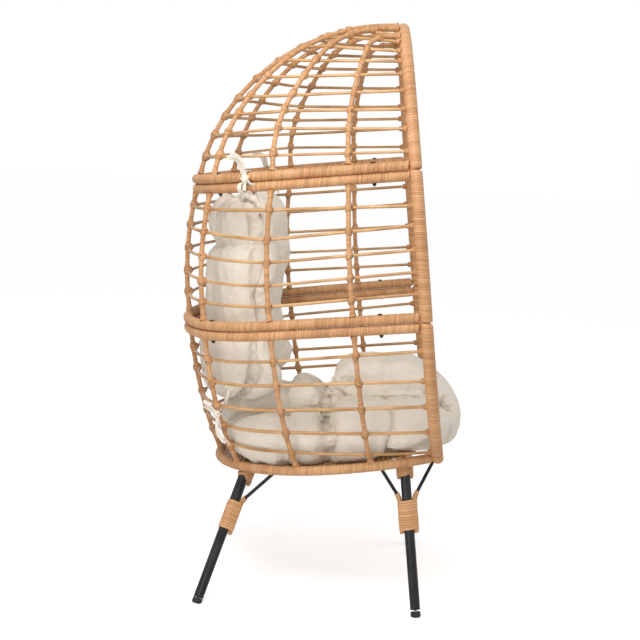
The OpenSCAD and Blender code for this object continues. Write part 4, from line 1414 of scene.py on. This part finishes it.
def seat_folds(p, n, rng):
    """Sewn channels across and along the seat, deepest at the tufts and where they come down
    the sides, with gathers that fade away from them."""
    x, y, z = p.T
    out = np.zeros(len(p))
    up = np.clip(n[:, 2], 0, 1)
    side = smooth(np.abs(x), 0.2, 0.27) * smooth(z, 0.0, 0.03)
    for row, depth, above in zip(SEAT_ROWS, (1.0, 1.0, 0.7), (0.3, 1.0, 0.8)):
        shown = np.maximum(above * smooth(up, 0.1, 0.5), side)
        d = y - row - 0.006 * np.sin(17 * x + 40 * row) - 0.012 * side * np.sin(30 * z + 9 * row)
        out -= depth * shown * groove(d, (0.013, 0.0055), (0.008, 0.014))
        gather = gathers(x * (1 - side) + z * side, 0.023, 5, p, rng, 0.05, 0.1)
        out += 0.0013 * depth * shown * gather * np.exp(-np.abs(d) / 0.03)
    d = np.abs(x) - SEAT_TUFT_X - 0.006 * np.sin(21 * y)
    out -= smooth(up, 0.1, 0.5) * groove(d, (0.017, 0.0055), (0.01, 0.013))
    gather = gathers(y, 0.026, 5, p, rng, 0.05, 0.1)
    out += 0.001 * smooth(up, 0.1, 0.5) * gather * np.exp(-np.abs(d) / 0.03)
    folds = 1 - np.abs(waves(p, rng, 5, 0.05, 0.13))
    return out + 0.0016 * folds + 0.0008 * waves(p, rng, 6, 0.03, 0.06)


def back_folds(p, n, rng):
    """The seam round the back cushion's edge, the creases across its back at the tufts, and
    soft folds that gather towards its top corners."""
    x, y, z = (p - BACK_MID).T
    off = y + BACK_LEAN * z + back_bend(x)
    rim = np.maximum(smooth(np.abs(x), 0.17, 0.22), smooth(np.abs(z), 0.17, 0.23))
    wander = 0.004 * np.sin(19 * z) + 0.003 * np.sin(47 * z + 1)
    out = -rim * groove(off - wander, (0.015, 0.007), (0.01, 0.02))
    gather = gathers(z, 0.028, 6, p, rng, 0.06, 0.12)
    out += 0.0016 * rim * gather * np.exp(-np.abs(off) / 0.028)
    behind = smooth(n[:, 1], 0.0, 0.5)
    face = smooth(-n[:, 1], 0.1, 0.6) * dip(x, 0.13)
    for row, depth in zip(BACK_ROWS, BACK_ROW_DEPTHS):
        d = z - row - 0.005 * np.sin(23 * x)
        out -= depth * behind * groove(d, (0.008, 0.005), (0.006, 0.014))
        out -= depth * face * groove(d, (0.008, 0.005), (0.005, 0.013))
    corner = dip(np.hypot(np.abs(x) - 0.17, z - BACK_CUSHION_H / 2), 0.06)
    pleats = gathers(x + 0.4 * off, 0.021, 2, p, rng, 0.05, 0.1)
    out += 0.0018 * corner * pleats
    folds = 1 - np.abs(waves(p, rng, 5, 0.06, 0.15))
    return out + 0.0017 * folds + 0.0008 * waves(p, rng, 6, 0.03, 0.06)


CUSHION_ROOM = 0.017


def cushion(name, surface, folds, seed, cap):
    """Makes a cushion upright, swells it, presses in its creases and folds along its normals,
    keeps it inside the shell and lays it in the chair."""
    obj = piece(name + "_case", [pillow(surface)], CLOTH, replaces=(name,))
    puffed(obj, cap)
    finer = obj.modifiers.new("finer", "SUBSURF")
    finer.levels = finer.render_levels = 1
    bpy.ops.object.modifier_apply(modifier=finer.name)
    upright = read(obj.data.vertices, "co", len(obj.data.vertices)).astype(float)
    n = normals_of(obj.data, upright)
    upright = upright + folds(upright, n, np.random.default_rng(seed))[:, None] * n
    obj.data.polygons.foreach_set("use_smooth", np.ones(len(obj.data.polygons), bool))
    move_to(obj.data, to_chair(kept_in(upright, CUSHION_ROOM)))
    return obj


seat_cushion = cushion("seat_cushion", seat_surface, seat_folds, 91, 0.022)
back_cushion = cushion("back_cushion", back_surface, back_folds, 92, 0.02)

# ---- Ties ----


def strip(points, side, wide, thick, twist=0.0):
    """A flat strip of folded cloth along a path: an oval section that turns by twist from one
    end to the other, and narrows at both."""
    path = chain([vec(*p) for p in points], unit(vec(*points[1]) - vec(*points[0])))
    run = lengths(path)[-1]
    s = np.linspace(0, run, max(12, int(run / 0.002)))
    at = along(path, s)
    t = unit(np.gradient(at, axis=0))
    n = unit(np.cross(t, side))
    b = np.cross(t, n)
    turn = twist * (s / run)[:, None, None]
    a = 2 * math.pi * np.arange(14)[None, :, None] / 14
    narrow = (1 - 0.35 * np.abs(2 * s / run - 1) ** 3)[:, None, None]
    u = wide * narrow * np.cos(a)
    v = thick * np.sin(a) * (1 + 0.5 * np.cos(2 * a))
    wide_part = (u * np.cos(turn) - v * np.sin(turn)) * n[:, None]
    ring = wide_part + (u * np.sin(turn) + v * np.cos(turn)) * b[:, None]
    return grid(to_chair(at[:, None] + ring), s)


def knot(at, radius, seed):
    """A tied knot: a ball whose radius ripples round two turned axes, like strands crossing."""
    rng = np.random.default_rng(seed)
    v = math.pi * (np.arange(18) + 0.5)[:, None] / 18
    w = 2 * math.pi * np.arange(26)[None, :] / 26
    p, q = rng.uniform(0, 2 * math.pi, 2)
    swell = 0.14 * np.sin(3 * w + 2.5 * np.cos(v) * 2 + p)
    r = radius * (1 + swell + 0.1 * np.sin(4 * v + 2 * w + q))
    x, y = r * np.sin(v) * np.cos(w), r * np.sin(v) * np.sin(w)
    ball = np.stack([x, y, r * np.cos(v) * np.ones_like(w)], -1)
    return grid(to_chair(at + ball[::-1]), np.linspace(0, 2 * radius, 18))


def loop_points(middle, radius, stretch, out):
    """Points round a slot of the given radius and stretch in the plane of out and up."""
    points = []
    for i in range(9):
        a = 2 * math.pi * i / 8
        lift = stretch / 2 * np.sign(round(math.sin(a), 6))
        points.append(middle + radius * math.cos(a) * out + (radius * math.sin(a) + lift) * UP)
    return points


# Each tail of a tie: two points from the knot, the strip's half width and thickness, its twist.
TOP_TAILS = (
    ((-0.004, 0.006, 0.03), (-0.002, 0.032, 0.058), 0.0105, 0.0026, 0.4),
    ((0.001, 0.004, 0.03), (0.004, 0.038, 0.05), 0.008, 0.002, -0.5),
    ((0.003, -0.008, -0.01), (0.002, -0.024, -0.018), 0.006, 0.0018, 0.8),
    ((0.004, 0.002, -0.014), (0.004, 0.004, -0.03), 0.0062, 0.0018, -0.5),
)
LOW_TAILS = (
    ((0.002, -0.006, -0.034), (-0.002, -0.026, -0.08), 0.0062, 0.0018, 0.8),
    ((0.006, 0.002, -0.03), (0.004, -0.016, -0.074), 0.0056, 0.0018, -0.7),
    ((0.0, 0.014, 0.016), (-0.002, 0.03, 0.036), 0.0062, 0.0018, 0.7),
    ((0.002, 0.018, 0.012), (0.002, 0.036, 0.026), 0.0055, 0.0017, -0.6),
)
TIE_TURN_R = 0.0022
UPPER_AT, UPPER_OUT = bolt_point(1, 0.68, SEAM_HIGH), unit(vec(0.62, 0.78, 0))
LOWER_AT = station(1, 0.405 * LOWER_H)
LOWER_OUT = -inwards(1, LOWER_AT[2])


def tie(place, knot_at, out, tails, strand, *size):
    """A tie's four tails from its knot, and the strand that runs to the cushion."""
    shapes = []
    for first, last, wide, thick, twist in tails:
        points = [knot_at, knot_at + vec(*first), knot_at + vec(*last)]
        shapes.append(strip([place(p) for p in points], place(out), wide, thick, twist))
    return [*shapes, strip([place(p) for p in strand], place(out), *size)]


for side, place in SIDES:
    seed = 500 + (side == "left")
    r = RING_R + TIE_TURN_R
    knot_at = UPPER_AT + (RING_R + 0.011) * UPPER_OUT + vec(0, -0.012, 0.01)
    strand = [
        UPPER_AT - r * UPPER_OUT,
        UPPER_AT - 0.018 * UPPER_OUT + vec(0, 0, -0.02),
        UPPER_AT - 0.03 * UPPER_OUT + vec(0, 0, -0.05),
    ]
    shapes = []
    for middle, wide in ((UPPER_AT, 0.0052), (UPPER_AT + vec(0.004, -0.005, 0), 0.0048)):
        turn = [place(p) for p in loop_points(middle, r, 2 * RING_STEP, UPPER_OUT)]
        shapes.append(strip(turn, place(UPPER_OUT), wide, 0.0012))
    shapes.append(knot(place(knot_at), 0.0094, seed))
    shapes += tie(place, knot_at, UPPER_OUT, TOP_TAILS, strand, 0.005, 0.0016, 0.7)

    r = RIB_R + TIE_TURN_R
    knot_at = LOWER_AT + (RIB_R + 0.009) * LOWER_OUT + vec(0, -0.008, 0)
    across = np.cross(LOWER_OUT, UP)
    turn = [
        place(LOWER_AT + r * (math.cos(b) * LOWER_OUT + math.sin(b) * across))
        for b in np.linspace(0, 2 * math.pi, 9)
    ]
    strand = [
        LOWER_AT - r * LOWER_OUT,
        LOWER_AT - 0.02 * LOWER_OUT + vec(0, 0, 0.02),
        LOWER_AT - 0.04 * LOWER_OUT + vec(0, 0, 0.06),
    ]
    shapes.append(strip(turn, UP, 0.0048, 0.0012))
    shapes.append(knot(place(knot_at), 0.0085, seed + 10))
    shapes += tie(place, knot_at, LOWER_OUT, LOW_TAILS, strand, 0.0048, 0.0016, 0.8)
    ties = ("back_cushion_ties",)
    piece("cushion_ties_" + side, shapes, CLOTH, replaces=ties)

# ---- Floor, light and camera ----

FLOOR_FAR, FLOOR_GLOW = 30.0, 0.5


def floor():
    """A pale floor that glows a little to the camera, so that it joins the background."""
    mesh = bpy.data.meshes.new("floor")
    corners = [(x * FLOOR_FAR, y * FLOOR_FAR, 0) for x, y in ((-1, -1), (1, -1), (1, 1), (-1, 1))]
    mesh.from_pydata(corners, [], [(0, 1, 2, 3)])
    made, tree, shader, _ = material("pale floor")
    shader.inputs["Base Color"].default_value = (0.9, 0.9, 0.9, 1)
    shader.inputs["Roughness"].default_value = 0.9
    seen = tree.nodes.new("ShaderNodeLightPath").outputs["Is Camera Ray"]
    strength = calc(tree, "MULTIPLY", seen, FLOOR_GLOW)
    glow = node(tree, "ShaderNodeEmission", None, {"Strength": strength})
    both = node(tree, "ShaderNodeAddShader", None, {0: shader.outputs[0], 1: glow.outputs[0]})
    tree.links.new(both.outputs[0], tree.nodes["Material Output"].inputs["Surface"])
    mesh.materials.append(made)
    obj = bpy.data.objects.new("floor", mesh)
    bpy.context.scene.collection.objects.link(obj)
    obj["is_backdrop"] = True


def world(strength):
    """White surroundings: full to the camera and in reflections, weaker as a light."""
    made = bpy.data.worlds.new("studio")
    made.use_nodes = True
    tree = made.node_tree
    plain = tree.nodes["Background"]
    plain.inputs[0].default_value = (1, 1, 1, 1)
    plain.inputs[1].default_value = strength
    white = node(tree, "ShaderNodeBackground", None, {0: (1, 1, 1, 1), 1: 1.0})
    seen = tree.nodes.new("ShaderNodeLightPath").outputs
    share = calc(tree, "MAXIMUM", seen["Is Glossy Ray"], seen["Is Transmission Ray"])
    share = calc(tree, "MAXIMUM", seen["Is Camera Ray"], share)
    sockets = {0: share, 1: plain.outputs[0], 2: white.outputs[0]}
    both = node(tree, "ShaderNodeMixShader", None, sockets)
    tree.links.new(both.outputs[0], tree.nodes["World Output"].inputs[0])
    bpy.context.scene.world = made


def placed(right, above, back, at):
    """The matrix of an object from its three directions and its place."""
    m = np.eye(4)
    m[:3, 0], m[:3, 1], m[:3, 2], m[:3, 3] = right, above, back, at
    return Matrix(m)


def lamp(name, at, aim, size, power):
    """A soft square lamp at a point, turned to face another."""
    data = bpy.data.lights.new(name, "AREA")
    data.size = size
    data.energy = power
    obj = bpy.data.objects.new(name, data)
    back = unit(vec(*at) - vec(*aim))
    right = unit(np.cross(UP, back))
    above = np.cross(back, right)
    obj.matrix_world = placed(right, above, back, at)
    bpy.context.scene.collection.objects.link(obj)


LENS, SENSOR_W = 79.7, 36
CAMERA_RIGHT = (0.04173, -0.99777, 0.05227)
CAMERA_UP = (0.12591, 0.05714, 0.99040)
CAMERA_BACK = (-0.99116, -0.03475, 0.12802)
CAMERA_AT = (-3.7126, -0.1249, 1.1634)


def camera():
    """The scene's camera."""
    data = bpy.data.cameras.new("camera")
    data.lens = LENS
    data.sensor_width = SENSOR_W
    obj = bpy.data.objects.new("camera", data)
    obj.matrix_world = placed(CAMERA_RIGHT, CAMERA_UP, CAMERA_BACK, CAMERA_AT)
    bpy.context.scene.collection.objects.link(obj)
    bpy.context.scene.camera = obj


floor()
world(0.5)
lamp("key", (-1.3, 0.35, 2.15), (0, 0, 0.7), 1.1, 26)
lamp("low", (-2.1, 0.7, 0.25), (0, 0, 0.6), 1.2, 14)
lamp("front", (0.6, -3.6, 2.2), (0, 0, 0.8), 2.6, 30)
camera()
bpy.context.scene.view_settings.view_transform = "Standard"

low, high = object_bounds()
